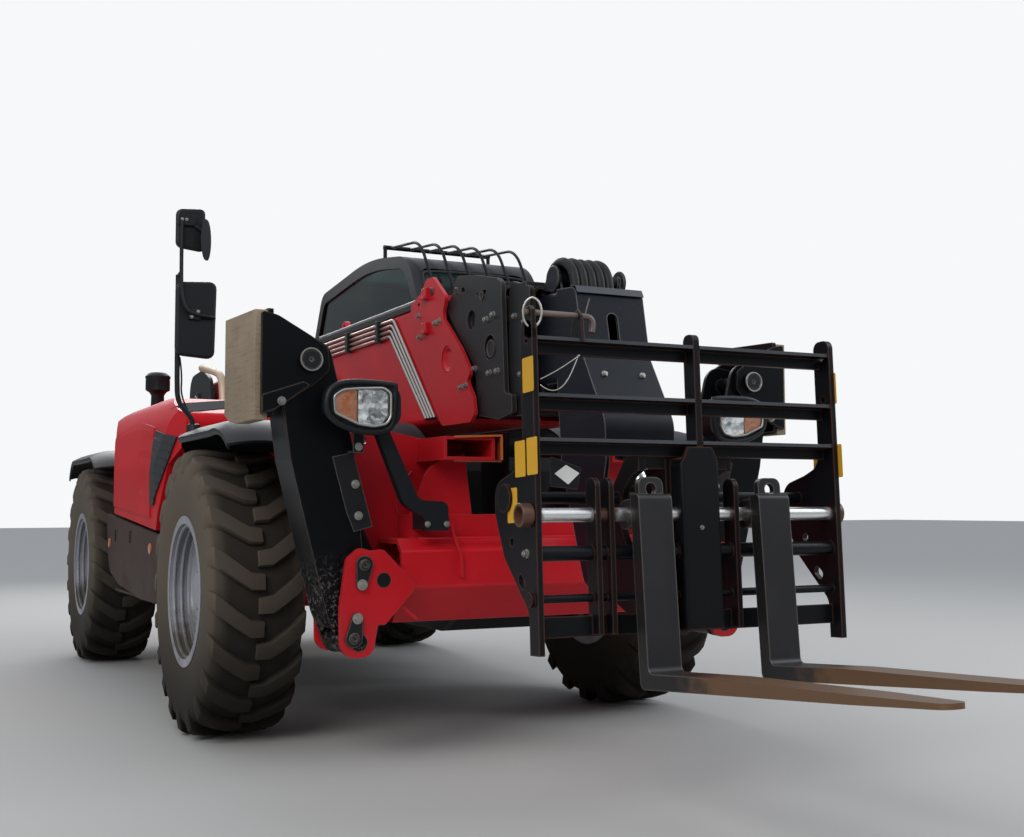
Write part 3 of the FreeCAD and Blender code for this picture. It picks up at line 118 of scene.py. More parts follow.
for lamp_name, place, size, power, colour in (
        ("left_lamp", (-6.5, -7.0, 6.5), 5.0, 430, (1.0, 0.98, 0.95)),
        ("right_lamp", (7.5, -4.0, 5.5), 5.0, 300, (0.93, 0.96, 1.0)),
        ("back_lamp", (1.0, 9.0, 6.5), 5.0, 350, (1.0, 1.0, 1.0))):
    lamp_data = bpy.data.lights.new(lamp_name, "AREA")
    lamp_data.size = size
    lamp_data.energy = power
    lamp_data.specular_factor = 0.35
    lamp_data.color = colour
    lamp = bpy.data.objects.new(lamp_name, lamp_data)
    lamp.location = place
    lamp.rotation_euler = (Vector((0, -1.0, 1.0)) - Vector(place)).to_track_quat("-Z", "Y").to_euler()
    bpy.context.collection.objects.link(lamp)


# Two black side plates, joined by a floor, carry everything; the rear end is the boom's tower.
# They are thick plate, painted satin black, dusty on top and scraped to brown primer at the edges.
# The effects below, dust that settles and paint that wears at edges, serve most later pieces too.

wheel_low, wheel_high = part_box("tyre_front_right")
axle_y = (wheel_low.y + wheel_high.y) / 2


def at(x, station, z):
    """Point from its side, its distance ahead of the front axle and its height."""
    return Vector((x, axle_y - station, z))


def add_node(tree, kind, settings=None, **inputs):
    made = tree.nodes.new(kind)
    for key, value in (settings or {}).items():
        setattr(made, key, value)
    for key, value in inputs.items():
        socket = made.inputs[key.replace("_", " ")]
        if isinstance(value, bpy.types.NodeSocket):
            tree.links.new(value, socket)
        else:
            socket.default_value = value
    return made


def maths(tree, operation, first, second=0.5, clamp=False):
    made = tree.nodes.new("ShaderNodeMath")
    made.operation = operation
    made.use_clamp = clamp
    for socket, value in zip(made.inputs, (first, second)):
        if isinstance(value, bpy.types.NodeSocket):
            tree.links.new(value, socket)
        else:
            socket.default_value = value
    return made.outputs[0]


def ramp(tree, value, low, high, out_low=0.0, out_high=1.0):
    made = add_node(tree, "ShaderNodeMapRange", {"interpolation_type": "SMOOTHSTEP"}, Value=value)
    made.inputs["From Min"].default_value = low
    made.inputs["From Max"].default_value = high
    made.inputs["To Min"].default_value = out_low
    made.inputs["To Max"].default_value = out_high
    return made.outputs["Result"]


def blend_colours(tree, factor, first, second, mode="MIX"):
    made = tree.nodes.new("ShaderNodeMix")
    made.data_type = "RGBA"
    made.blend_type = mode
    for index, value in ((0, factor), (6, first), (7, second)):
        if isinstance(value, bpy.types.NodeSocket):
            tree.links.new(value, made.inputs[index])
        else:
            made.inputs[index].default_value = value if index == 0 else (*value, 1)
    return made.outputs[2]


def effect_group(name, inputs, outputs):
    group = bpy.data.node_groups.new(name, "ShaderNodeTree")
    for label, default in inputs:
        group.interface.new_socket(label, in_out="INPUT", socket_type="NodeSocketFloat").default_value = default
    for label in outputs:
        group.interface.new_socket(label, in_out="OUTPUT", socket_type="NodeSocketFloat")
    return group, group.nodes.new("NodeGroupInput").outputs, group.nodes.new("NodeGroupOutput").inputs


def noise(tree, vector, scale, detail=6.0, roughness=0.6):
    return add_node(tree, "ShaderNodeTexNoise", Vector=vector, Scale=scale, Detail=detail,
                    Roughness=roughness).outputs["Fac"]


# Dust lies in patches, thicker on what faces up and towards the ground.
dust_group, given, gives = effect_group("settled_dust", (("Scale", 3.0), ("Amount", 0.4), ("Mud Height", 0.8),
                                                         ("On Top", 0.5)), ("Mask", "Grain"))
place = add_node(dust_group, "ShaderNodeTexCoord").outputs["Object"]
height = add_node(dust_group, "ShaderNodeSeparateXYZ", Vector=place).outputs["Z"]
faces_up = add_node(dust_group, "ShaderNodeSeparateXYZ",
                    Vector=add_node(dust_group, "ShaderNodeNewGeometry").outputs["Normal"]).outputs["Z"]
patches = noise(dust_group, place, given["Scale"], 8.0, 0.65)
grain = noise(dust_group, place, maths(dust_group, "MULTIPLY", given["Scale"], 22.0), 4.0, 0.7)
low_down = maths(dust_group, "SUBTRACT", 1.0, maths(dust_group, "DIVIDE", height, given["Mud Height"]), True)
total = maths(dust_group, "ADD", patches, maths(dust_group, "MULTIPLY", low_down, 0.35))
total = maths(dust_group, "ADD", total, maths(dust_group, "MULTIPLY",
                                              maths(dust_group, "MAXIMUM", faces_up, 0.0), given["On Top"]))
total = maths(dust_group, "ADD", total, maths(dust_group, "MULTIPLY", grain, 0.3))
total = maths(dust_group, "ADD", total, maths(dust_group, "SUBTRACT", given["Amount"], 1.2))
dust_group.links.new(ramp(dust_group, total, 0.0, 0.4), gives["Mask"])
dust_group.links.new(grain, gives["Grain"])

# Paint goes at corners, where the surface turns within a few millimetres.
wear_group, given, gives = effect_group("worn_edges", (("Radius", 0.006), ("Amount", 0.5)), ("Mask",))
place = add_node(wear_group, "ShaderNodeTexCoord").outputs["Object"]
rounded = add_node(wear_group, "ShaderNodeBevel", {"samples": 4}, Radius=given["Radius"]).outputs["Normal"]
flat = add_node(wear_group, "ShaderNodeNewGeometry").outputs["Normal"]
turn = add_node(wear_group, "ShaderNodeVectorMath", {"operation": "DOT_PRODUCT"})
wear_group.links.new(rounded, turn.inputs[0])
wear_group.links.new(flat, turn.inputs[1])
sharpness = maths(wear_group, "SUBTRACT", 1.0, turn.outputs["Value"])
chips = noise(wear_group, place, 45.0, 5.0, 0.75)
limit = maths(wear_group, "MULTIPLY", maths(wear_group, "SUBTRACT", 1.15, given["Amount"]), chips)
wear_group.links.new(ramp(wear_group, maths(wear_group, "SUBTRACT", sharpness, maths(wear_group, "MULTIPLY", limit, 0.22)),
                          0.0, 0.05), gives["Mask"])


def finish(name, colour, roughness, dust=0.3, dust_colour=(0.16, 0.125, 0.09), dust_scale=2.5, mud_height=0.9,
           on_top=0.4, wear=0.0, wear_colour=(0.10, 0.055, 0.035), wear_radius=0.006, metallic=0.0, coat=0.0,
           bump=0.12, bump_scale=350.0, variation=0.12, specular=0.5):
    """Surface with colour variation, dust, worn edges and a fine texture."""
    material = bpy.data.materials.new(name)
    material.use_nodes = True
    tree = material.node_tree
    shader = tree.nodes["Principled BSDF"]
    shader.inputs["Metallic"].default_value = metallic
    shader.inputs["Specular IOR Level"].default_value = specular
    if coat:
        shader.inputs["Coat Weight"].default_value = coat
        shader.inputs["Coat Roughness"].default_value = 0.08
    place = add_node(tree, "ShaderNodeTexCoord").outputs["Object"]
    cloudy = noise(tree, place, 1.7, 5.0, 0.55)
    dark = tuple(c * (1 - variation) for c in colour)
    light = tuple(min(1, c * (1 + variation)) for c in colour)
    tint = blend_colours(tree, ramp(tree, cloudy, 0.3, 0.7), dark, light)
    dusty = add_node(tree, "ShaderNodeGroup", {"node_tree": dust_group})
    for label, value in (("Scale", dust_scale), ("Amount", dust), ("Mud Height", mud_height), ("On Top", on_top)):
        dusty.inputs[label].default_value = value
    tint = blend_colours(tree, dusty.outputs["Mask"], tint, dust_colour)
    rough = maths(tree, "ADD", roughness, maths(tree, "MULTIPLY", dusty.outputs["Mask"], 0.85 - roughness))
    if wear:
        worn = add_node(tree, "ShaderNodeGroup", {"node_tree": wear_group})
        worn.inputs["Radius"].default_value = wear_radius
        worn.inputs["Amount"].default_value = wear
        tint = blend_colours(tree, worn.outputs["Mask"], tint, wear_colour)
    fine = noise(tree, place, bump_scale, 3.0, 0.6)
    relief = maths(tree, "ADD", maths(tree, "MULTIPLY", fine, 0.4), dusty.outputs["Mask"])
    raised = add_node(tree, "ShaderNodeBump", Strength=bump, Distance=0.001, Height=relief)
    tree.links.new(tint, shader.inputs["Base Color"])
    tree.links.new(rough, shader.inputs["Roughness"])
    tree.links.new(raised.outputs["Normal"], shader.inputs["Normal"])
    return material


def dress(material, *names):
    """Give CAD nodes a finish."""
    for name in names:
        mesh = frame["nodes"][name].data
        mesh.materials.clear()
        mesh.materials.append(material)


def piece(name, mesh, material, body, smooth=False):
    """Finished mesh as an object that rides on a body."""
    made = bpy.data.objects.new(name, mesh)
    bpy.context.collection.objects.link(made)
    if material is not None:
        mesh.materials.clear()
        mesh.materials.append(material)
    for face in mesh.polygons:
        face.use_smooth = smooth
    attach(made, body)
    return made


def smooth_by_angle(mesh, degrees=35):
    """Smooth shading with sharp edges where faces meet at more than an angle."""
    shape = bmesh.new()
    shape.from_mesh(mesh)
    for face in shape.faces:
        face.smooth = True
    for edge in shape.edges:
        edge.smooth = len(edge.link_faces) == 2 and edge.calc_face_angle(0) < math.radians(degrees)
    shape.to_mesh(mesh)
    shape.free()
    return mesh


def applied(source):
    """Mesh of an object with its modifiers or curve bevel applied; the object goes."""
    bpy.context.view_layer.update()
    evaluated = source.evaluated_get(bpy.context.evaluated_depsgraph_get())
    mesh = bpy.data.meshes.new_from_object(evaluated)
    bpy.data.objects.remove(source, do_unlink=True)
    return mesh


def loose(mesh):
    made = bpy.data.objects.new("loose", mesh)
    bpy.context.collection.objects.link(made)
    return made


def joined(*meshes):
    whole = bmesh.new()
    for mesh in meshes:
        whole.from_mesh(mesh)
    result = bpy.data.meshes.new("joined")
    whole.to_mesh(result)
    whole.free()
    return result


def pushed(points, push, edge=0.0015, corner=0.0):
    """Closed plate from a flat outline pushed along a vector, with rounded corners and eased edges."""
    shape = bmesh.new()
    face = shape.faces.new([shape.verts.new(point) for point in points])
    if corner:
        bmesh.ops.bevel(shape, geom=list(shape.verts), offset=corner, segments=4, affect="VERTICES", profile=0.5)
    moved = bmesh.ops.extrude_face_region(shape, geom=list(shape.faces))
    bmesh.ops.translate(shape, vec=push, verts=[v for v in moved["geom"] if isinstance(v, bmesh.types.BMVert)])
    bmesh.ops.recalc_face_normals(shape, faces=list(shape.faces))
    if edge:
        sharp = [e for e in shape.edges if len(e.link_faces) == 2 and e.calc_face_angle(0) > 0.9]
        bmesh.ops.bevel(shape, geom=sharp, offset=edge, segments=2, affect="EDGES", profile=0.6)
    mesh = bpy.data.meshes.new("pushed")
    shape.to_mesh(mesh)
    shape.free()
    return mesh


def turned(profile, centre, axis, steps=48):
    """Closed ring or disc by turning (along, radius) points about an axis."""
    axis = axis.normalized()
    across = axis.orthogonal().normalized()
    up = axis.cross(across)
    shape = bmesh.new()
    rings = []
    for step in range(steps):
        angle = 2 * math.pi * step / steps
        out = across * math.cos(angle) + up * math.sin(angle)
        rings.append([shape.verts.new(centre + axis * a + out * max(r, 1e-5)) for a, r in profile])
    for step in range(steps):
        here, there = rings[step], rings[(step + 1) % steps]
        for index in range(len(profile)):
            after = (index + 1) % len(profile)
            shape.faces.new((here[index], here[after], there[after], there[index]))
    bmesh.ops.remove_doubles(shape, verts=list(shape.verts), dist=2e-5)
    bmesh.ops.recalc_face_normals(shape, faces=list(shape.faces))
    mesh = bpy.data.meshes.new("turned")
    shape.to_mesh(mesh)
    shape.free()
    return smooth_by_angle(mesh)


def tube(points, radius, closed=False, rounded=True, sides=4):
    """Round wire or pipe through points, as a mesh."""
    curve = bpy.data.curves.new("tube", "CURVE")
    curve.dimensions = "3D"
    curve.bevel_depth = radius
    curve.bevel_resolution = sides
    curve.use_fill_caps = True
    curve.resolution_u = 8
    spline = curve.splines.new("NURBS" if rounded else "POLY")
    spline.points.add(len(points) - 1)
    for point, place in zip(spline.points, points):
        point.co = (*place, 1)
    spline.use_cyclic_u = closed
    if rounded:
        spline.order_u = 3
        spline.use_endpoint_u = True
    mesh = applied(loose(curve))
    for face in mesh.polygons:
        face.use_smooth = True
    return mesh


# Bolt heads sit on points; each has a washer and a hexagon, turned to face outward.
bolt_tree = bpy.data.node_groups.new("bolts_on_points", "GeometryNodeTree")
bolt_tree.interface.new_socket("Points", in_out="INPUT", socket_type="NodeSocketGeometry")
bolt_tree.interface.new_socket("Bolts", in_out="OUTPUT", socket_type="NodeSocketGeometry")
bolt_finish = bolt_tree.interface.new_socket("Finish", in_out="INPUT", socket_type="NodeSocketMaterial")
washer_width = bolt_tree.interface.new_socket("Washer", in_out="INPUT", socket_type="NodeSocketFloat")
washer_width.default_value = 1.35
enters = bolt_tree.nodes.new("NodeGroupInput")
leaves = bolt_tree.nodes.new("NodeGroupOutput")
hexagon = add_node(bolt_tree, "GeometryNodeMeshCylinder", Vertices=6, Radius=1.0, Depth=0.9)
hexagon = add_node(bolt_tree, "GeometryNodeTransform", Geometry=hexagon.outputs["Mesh"], Translation=(0, 0, 0.65))
washer = add_node(bolt_tree, "GeometryNodeMeshCylinder", Vertices=20, Radius=enters.outputs["Washer"], Depth=0.3)
tip = add_node(bolt_tree, "GeometryNodeMeshCylinder", Vertices=12, Radius=0.55, Depth=0.5)
tip = add_node(bolt_tree, "GeometryNodeTransform", Geometry=tip.outputs["Mesh"], Translation=(0, 0, 1.2))
whole_bolt = bolt_tree.nodes.new("GeometryNodeJoinGeometry")
for part in (washer.outputs["Mesh"], hexagon.outputs["Geometry"], tip.outputs["Geometry"]):
    bolt_tree.links.new(part, whole_bolt.inputs[0])
facing = add_node(bolt_tree, "GeometryNodeInputNamedAttribute", {"data_type": "FLOAT_VECTOR"}, Name="facing")
size = add_node(bolt_tree, "GeometryNodeInputNamedAttribute", {"data_type": "FLOAT"}, Name="size")
turn = add_node(bolt_tree, "FunctionNodeAlignRotationToVector", {"axis": "Z"}, Vector=facing.outputs["Attribute"])
spread = add_node(bolt_tree, "GeometryNodeInstanceOnPoints", Points=enters.outputs["Points"],
                  Instance=whole_bolt.outputs[0], Rotation=turn.outputs[0], Scale=size.outputs["Attribute"])
real = add_node(bolt_tree, "GeometryNodeRealizeInstances", Geometry=spread.outputs["Instances"])
coloured = add_node(bolt_tree, "GeometryNodeSetMaterial", Geometry=real.outputs[0], Material=enters.outputs["Finish"])
bolt_tree.links.new(coloured.outputs[0], leaves.inputs["Bolts"])

zinc = finish("zinc_bolts", (0.42, 0.41, 0.38), 0.38, dust=0.15, metallic=0.85, variation=0.25)
black_bolts = finish("painted_bolts", (0.012, 0.012, 0.014), 0.45, dust=0.2, wear=0.6, wear_colour=(0.22, 0.2, 0.17))


def bolts(name, rows, material, body, washer=1.35):
    """Bolt heads at (place, outward direction, radius of the hexagon)."""
    mesh = bpy.data.meshes.new(name)
    mesh.from_pydata([row[0] for row in rows], [], [])
    mesh.attributes.new("facing", "FLOAT_VECTOR", "POINT")
    mesh.attributes.new("size", "FLOAT", "POINT")
    for index, row in enumerate(rows):
        mesh.attributes["facing"].data[index].vector = row[1]
        mesh.attributes["size"].data[index].value = row[2]
    source = loose(mesh)
    modifier = source.modifiers.new("bolts", "NODES")
    modifier.node_group = bolt_tree
    modifier[bolt_finish.identifier] = material
    modifier[washer_width.identifier] = washer
    return piece(name, applied(source), None, body)


black_paint = finish("black_frame_paint", (0.005, 0.006, 0.008), 0.42, specular=0.25, dust=0.20, dust_colour=(0.10, 0.075, 0.055),
                     wear=0.45, wear_colour=(0.085, 0.05, 0.035))
dress(black_paint, "frame_plates", "frame_floor")
left = Vector((1, 0, 0))
ahead = Vector((0, -1, 0))
tower_low, tower_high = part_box("frame_plates")
pivot = Vector(next(j["pos_m"] for j in frame["record"]["behaviour"]["joints"] if j["name"] == "boom_lift"))
ring_out = 0.332
tower_rings = [turned([(0, 0.060), (0.004, 0.064), (0.010, 0.064), (0.014, 0.060), (0.014, 0.048), (0, 0.048)],
                      Vector((side * (ring_out - 0.016), pivot.y, pivot.z)), left * side) for side in (-1, 1)]
steel_ring = finish("worn_pin_steel", (0.30, 0.28, 0.25), 0.42, dust=0.25, metallic=0.8, variation=0.2)
piece("boom_pin_rings", joined(*tower_rings), steel_ring, "machine")
tower_bolts = []
for side in (-1, 1):
    for index in range(3):
        tower_bolts.append((at(side * 0.3105, -3.42 - 0.13 * index, 1.50 - 0.16 * index), left * side, 0.014))
bolts("tower_bolts", tower_bolts, black_bolts, "machine")


# The beam across the front carries the stabilisers on red ear plates, and a web up to the boom.
# The paint is glossy red under dust, with white chips where the web is knocked.
# Black keepers hold the pins of the stabilisers and of their cylinders.

red_paint = finish("red_machine_paint", (0.49, 0.009, 0.016), 0.32, specular=0.25, dust=0.07, dust_colour=(0.16, 0.05, 0.04),
                   on_top=0.2, wear=0.32, wear_colour=(0.16, 0.075, 0.06), wear_radius=0.004, coat=0.12, bump=0.05,
                   variation=0.12)
dull_red = finish("dusty_red_paint", (0.30, 0.010, 0.012), 0.45, dust=0.38, dust_colour=(0.15, 0.11, 0.08),
                  wear=0.3, wear_colour=(0.13, 0.07, 0.05))
dress(red_paint, "front_beam", "counterweight", "rear_cover")
dress(dull_red, "front_axle", "rear_axle", "knuckle_front_right", "knuckle_front_left", "knuckle_rear_right",
      "knuckle_rear_left")

ear_front = 1.210
keepers = []
keeper_bolts = []
for side in (-1, 1):
    for wide, narrow in (((0.799, 0.778), (0.809, 0.706)), ((0.838, 0.512), (0.826, 0.584))):
        wide_middle = at(side * wide[0], ear_front, wide[1])
        narrow_middle = at(side * narrow[0], ear_front, narrow[1])
        run = (narrow_middle - wide_middle).normalized()
        across = run.cross(ahead)
        outline = []
        for middle, radius, start in ((wide_middle, 0.034, 100), (narrow_middle, 0.021, -80)):
            for step in range(13):
                angle = math.radians(start + step * (160 if radius > 0.03 else 160) / 12)
                outline.append(middle + run * radius * math.cos(angle) + across * radius * math.sin(angle))
        keepers.append(pushed(outline, ahead * 0.012, 0.002))
        keepers.append(turned([(0, 0.0), (0, 0.019), (0.010, 0.019), (0.013, 0.016), (0.013, 0.009), (0.008, 0.007),
                               (0.008, 0)], wide_middle + ahead * 0.010, ahead, 28))
        keeper_bolts.append((narrow_middle + ahead * 0.013, ahead, 0.0115))
keeper_paint = finish("keeper_black", (0.009, 0.009, 0.011), 0.38, specular=0.35, dust=0.25, wear=0.5, wear_colour=(0.2, 0.18, 0.15))
piece("pin_keepers", joined(*keepers), keeper_paint, "machine")
bolts("keeper_bolts", keeper_bolts, zinc, "machine", 1.75)

web_front = 0.936
web_trim = []
for side in (-1, 1):
    weld = tube([at(side * 0.560, web_front + 0.002, 0.965), at(side * 0.585, web_front + 0.002, 1.04),
                 at(side * 0.500, web_front + 0.002, 1.13)], 0.005)
    web_trim.append(weld)
    lower_run = [at(side * (0.735 - 0.155 * step / 4), 1.187, 0.700 - 0.130 * step / 4) for step in range(5)]
    web_trim.append(tube(lower_run, 0.006))
web_trim.append(tube([at(-0.57, 1.186, 0.871), at(0.57, 1.186, 0.871)], 0.004, rounded=False))
piece("beam_welds", joined(*web_trim), red_paint, "machine")
fins = []
for side in (-1, 1):
    fin = [(0.461, 0.955), (0.449, 0.955), (0.419, 0.862), (0.394, 0.800), (0.391, 0.722), (0.403, 0.722),
           (0.406, 0.802), (0.431, 0.866)]
    fins.append(pushed([at(side * x, 1.185, z) for x, z in fin], ahead * 0.016, 0.002))
piece("beam_fins", joined(*fins), red_paint, "machine")
# Painted highlight: thin orange strips along the box end's top and inner edge, where the edges catch the light.
orange_edge_highlight = finish("painted_orange_edge_highlight", (0.52, 0.11, 0.015), 0.5, dust=0.25)
recess = [[(-0.440, 1.253), (-0.236, 1.262), (-0.236, 1.270), (-0.440, 1.261)], [(-0.244, 1.170), (-0.236, 1.170),
          (-0.236, 1.268), (-0.244, 1.268)]]
piece("recess_edge_highlights", joined(*[pushed([at(x, 1.2175, z) for x, z in line], ahead * 0.010, 0.0015) for line in recess]),
      orange_edge_highlight, "machine")
recess_walls = [pushed([at(-0.440, 1.160, 1.253), at(-0.237, 1.160, 1.262), at(-0.237, 1.2172, 1.262),
                        at(-0.440, 1.2172, 1.253)], Vector((0, 0, 0.006)), 0.001),
                pushed([at(-0.440, 1.160, 1.170), at(-0.237, 1.160, 1.170), at(-0.237, 1.2172, 1.162),
                        at(-0.440, 1.2172, 1.162)], Vector((0, 0, 0.006)), 0.001),
                pushed([at(-0.237, 1.160, 1.168), at(-0.237, 1.160, 1.262), at(-0.237, 1.2172, 1.262),
                        at(-0.237, 1.2172, 1.168)], Vector((-0.006, 0, 0)), 0.001)]
recess_walls.append(pushed([at(-0.270, 1.160, 1.168), at(-0.237, 1.160, 1.168), at(-0.237, 1.160, 1.262),
                            at(-0.270, 1.160, 1.262)], ahead * 0.006, 0.001))
# Painted shade: the walls inside the hollow are a darker orange-red than the paint outside.
recess_shade_red = finish("recess_painted_shade_red", (0.24, 0.035, 0.012), 0.5, dust=0.3)
piece("recess_walls", joined(*recess_walls), recess_shade_red, "machine")


# The outer boom section is a red box whose sides end in cut plates, bolted over the wear pads.
# Four bright pipes run along the right side and turn down at the front of the plate.
# Clamps hold them, and round plugs cover the holes where the pads are greased.

dress(red_paint, "boom_outer")
pipe_steel = finish("plated_pipe", (0.50, 0.46, 0.42), 0.30, dust=0.08, metallic=1.0, variation=0.1, bump=0.03)
dress(pipe_steel, "boom_pipes")

outer_side = 0.256
pad_bolts = []
for side in (-1, 1):
    for station, z in ((0.605, 1.785), (0.652, 1.789), (0.880, 1.482), (0.926, 1.486), (0.420, 1.842), (0.430, 1.745)):
        pad_bolts.append((at(side * (outer_side + 0.001), station, z), left * side, 0.010))
bolts("outer_pad_bolts", pad_bolts, zinc, "boom", 1.5)

pad_lugs = []
for side in (-1, 1):
    for z in (1.925, 1.772):
        lug = [at(side * 0.2555, 0.483, z - 0.022), at(side * 0.2555, 0.535, z - 0.026), at(side * 0.2555, 0.535, z + 0.030),
               at(side * 0.2555, 0.483, z + 0.026)]
        pad_lugs.append(pushed(lug, left * side * 0.018, 0.003, 0.006))
        pad_lugs.append(pushed([p + left * side * 0.018 for p in lug[:2] + [at(side * 0.2555, 0.535, z - 0.012),
                                                                      at(side * 0.2555, 0.483, z - 0.008)]],
                               left * side * 0.010, 0.002))
piece("pad_lugs", joined(*pad_lugs), red_paint, "boom")
rail = pushed([at(-0.226, -1.05, 1.886), at(-0.247, -1.05, 1.886), at(-0.247, -1.05, 1.914), at(-0.226, -1.05, 1.914)],
              ahead * 1.46, 0.003)
piece("edge_rail", rail, keeper_paint, "boom")
rail_grey = finish("rail_trim_grey", (0.16, 0.18, 0.19), 0.4, dust=0.2)
piece("edge_rail_trim", tube([at(-0.238, -1.05, 1.920), at(-0.238, 0.415, 1.920)], 0.0075, rounded=False), rail_grey, "boom",
      True)

dish = [(0.0, 0), (0.0, 0.0572), (0.011, 0.0572), (0.0125, 0.0555), (0.0125, 0.050), (0.004, 0.034), (0.003, 0)]
dishes = [turned(dish, at(side * 0.2402, 0.729, 1.616), left * side, 40) for side in (-1, 1)]
piece("plate_dishes", joined(*dishes), red_paint, "boom")

clamps = []
clamp_bolts = []
for station in (-0.95, -0.52, -0.08):
    top = at(-0.2405, station, 1.884)
    outline = [top, top + Vector((-0.030, 0, 0)), top + Vector((-0.030, 0, -0.104)), top + Vector((0, 0, -0.104))]
    clamps.append(pushed(outline, Vector((0, 0.030, 0)), 0.003))
    for drop in (0.028, 0.076):
        clamp_bolts.append((at(-0.272, station - 0.015, 1.884 - drop), -left, 0.007))
piece("pipe_clamps", joined(*clamps), keeper_paint, "boom")
bolts("clamp_bolts", clamp_bolts, zinc, "boom")

plugs = []
for side in (-1, 1):
    for station, z in ((0.833, 1.891), (0.570, 1.930)):
        plugs.append(turned([(0, 0), (0, 0.017), (0.004, 0.017), (0.006, 0.013), (0.006, 0)],
                            at(side * outer_side, station, z), left * side, 24))
for side in (-1, 1):
    for station in (-0.60, -1.90, -3.10):
        plugs.append(turned([(0, 0), (0, 0.021), (0.003, 0.021), (0.005, 0.016), (0.005, 0)],
                            at(side * 0.240, station, 1.46), left * side, 24))
piece("boom_plugs", joined(*plugs), keeper_paint, "boom")


# The sliding sections are dark grey, rubbed to bare metal in streaks along their length.
# Their end plates carry bolts and round grease holes; rust shows at the cut edges.
# The head's top edge is ground bright, and its faces are a bluish black.

section_paint = finish("sliding_section_grey", (0.017, 0.0175, 0.019), 0.42, specular=0.3, dust=0.2, dust_colour=(0.11, 0.09, 0.075),
                       wear=0.5, wear_colour=(0.14, 0.11, 0.09), variation=0.25)
head_paint = finish("head_black", (0.005, 0.0065, 0.011), 0.38, specular=0.25, dust=0.12, dust_colour=(0.07, 0.065, 0.06), wear=0.55,
                    wear_colour=(0.19, 0.18, 0.17), wear_radius=0.008, variation=0.2)
for paint, along in ((section_paint, 26.0), (head_paint, 22.0)):
    tree = paint.node_tree
    shader = tree.nodes["Principled BSDF"]
    place = add_node(tree, "ShaderNodeTexCoord").outputs["Object"]
    stretched = add_node(tree, "ShaderNodeMapping", Vector=place, Scale=(along, 0.8, along * 2))
    streaks = ramp(tree, noise(tree, stretched.outputs[0], 3.0, 4.0, 0.7), 0.60, 0.75, 0.0, 0.35)
    before = shader.inputs["Base Color"].links[0].from_socket
    tree.links.new(blend_colours(tree, streaks, before, (0.075, 0.07, 0.068)), shader.inputs["Base Color"])
dress(section_paint, "boom_second", "boom_third")
dress(head_paint, "boom_head")

second_bolts = []
third_bolts = []
for side in (-1, 1):
    for station, z in ((1.066, 1.742), (1.131, 1.753), (1.097, 1.523), (1.168, 1.524), (0.958, 1.553)):
        second_bolts.append((at(side * 0.229, station, z), left * side, 0.012))
    for station, z in ((1.259, 1.732), (1.345, 1.70), (1.31, 1.50)):
        third_bolts.append((at(side * 0.197, station, z), left * side, 0.011))
bolts("second_pad_bolts", second_bolts, zinc, "second_section", 1.2)
bolts("third_pad_bolts", third_bolts, zinc, "third_section", 1.2)

holes = []
for side in (-1, 1):
    for station, z, radius in ((1.105, 1.620, 0.030), (1.02, 1.845, 0.012)):
        holes.append(turned([(0.0005, 0), (0.0005, radius), (0.004, radius + 0.001), (0.004, radius + 0.006),
                             (-0.002, radius + 0.006), (-0.002, 0)], at(side * 0.228, station, z), left * side, 32))
piece("second_section_bosses", joined(*holes), section_paint, "second_section")


# The goose-neck head has bolts on its front, and a roller on top that guides the hoses.
# Five hoses bend over the roller and go down into the head.

cover = [at(-0.118, 1.850, 1.405), at(0.118, 1.850, 1.405), at(0.118, 1.862, 1.235), at(-0.118, 1.862, 1.235)]
neck_low, neck_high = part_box("boom_head")
head_bolts = []
for x in (-0.080, 0.080):
    head_bolts.append((at(x, 1.7375, 1.465), (ahead + Vector((0, 0, 0.25))).normalized(), 0.009))
bolts("head_cover_bolts", head_bolts, zinc, "inner_section")

roller = at(0, 1.473, 1.850)
roller_parts = []
for x in (-0.150, 0.138):
    roller_parts.append(turned([(0, 0), (0, 0.046), (0.003, 0.049), (0.009, 0.049), (0.012, 0.046), (0.012, 0.016),
                                (0.016, 0.013), (0.016, 0)], roller + Vector((x, 0, 0)), left, 40))
# This grey serves the head's rubbed top edge and the painted sky reflection along the carriage bars.
worn_edge_and_highlight_grey = finish("rubbed_edge_and_highlight_grey", (0.048, 0.052, 0.060), 0.4, dust=0.3, dust_colour=(0.12, 0.105, 0.095), dust_scale=7.0,
                   on_top=0.0, variation=0.2)
strip = [at(-0.143, 1.604, 1.8055), at(-0.143, 1.640, 1.7985), at(-0.143, 1.655, 1.772), at(-0.143, 1.652, 1.770),
         at(-0.143, 1.637, 1.7955), at(-0.143, 1.604, 1.802)]
piece("head_edge_strip", pushed(strip, Vector((0.286, 0, 0)), 0.0008), worn_edge_and_highlight_grey, "inner_section")
roller_parts.append(turned([(0, 0), (0, 0.026), (0.28, 0.026), (0.28, 0)], roller + Vector((-0.14, 0, 0)), left, 32))
for x in (-0.134, 0.126):
    bracket = [at(x, 1.43, 1.803), at(x, 1.52, 1.803), at(x, 1.495, 1.868), at(x, 1.455, 1.868)]
    roller_parts.append(pushed(bracket, left * 0.008, 0.001))
piece("hose_roller", joined(*roller_parts), head_paint, "inner_section")

hose_rubber = finish("hose_rubber", (0.010, 0.010, 0.011), 0.55, specular=0.3, dust=0.3, dust_colour=(0.05, 0.045, 0.04),
                     bump=0.2)
hoses = []
for index in range(5):
    x = -0.117 + index * 0.0365
    sag = 0.003 * math.sin(index * 2.1)
    hoses.append(tube([at(x, 1.385, 1.818), at(x, 1.408, 1.872 + sag), at(x, 1.440, 1.906 + sag), at(x, 1.500, 1.914),
                       at(x, 1.560, 1.884 + sag), at(x, 1.590, 1.838), at(x, 1.594, 1.796)], 0.0185))
hose_piece = piece("head_hoses", joined(*hoses), hose_rubber, "inner_section")
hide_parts("hose_carrier")
smooth_by_angle(hose_piece.data, 50)
dress(steel_ring, "tilt_pin")
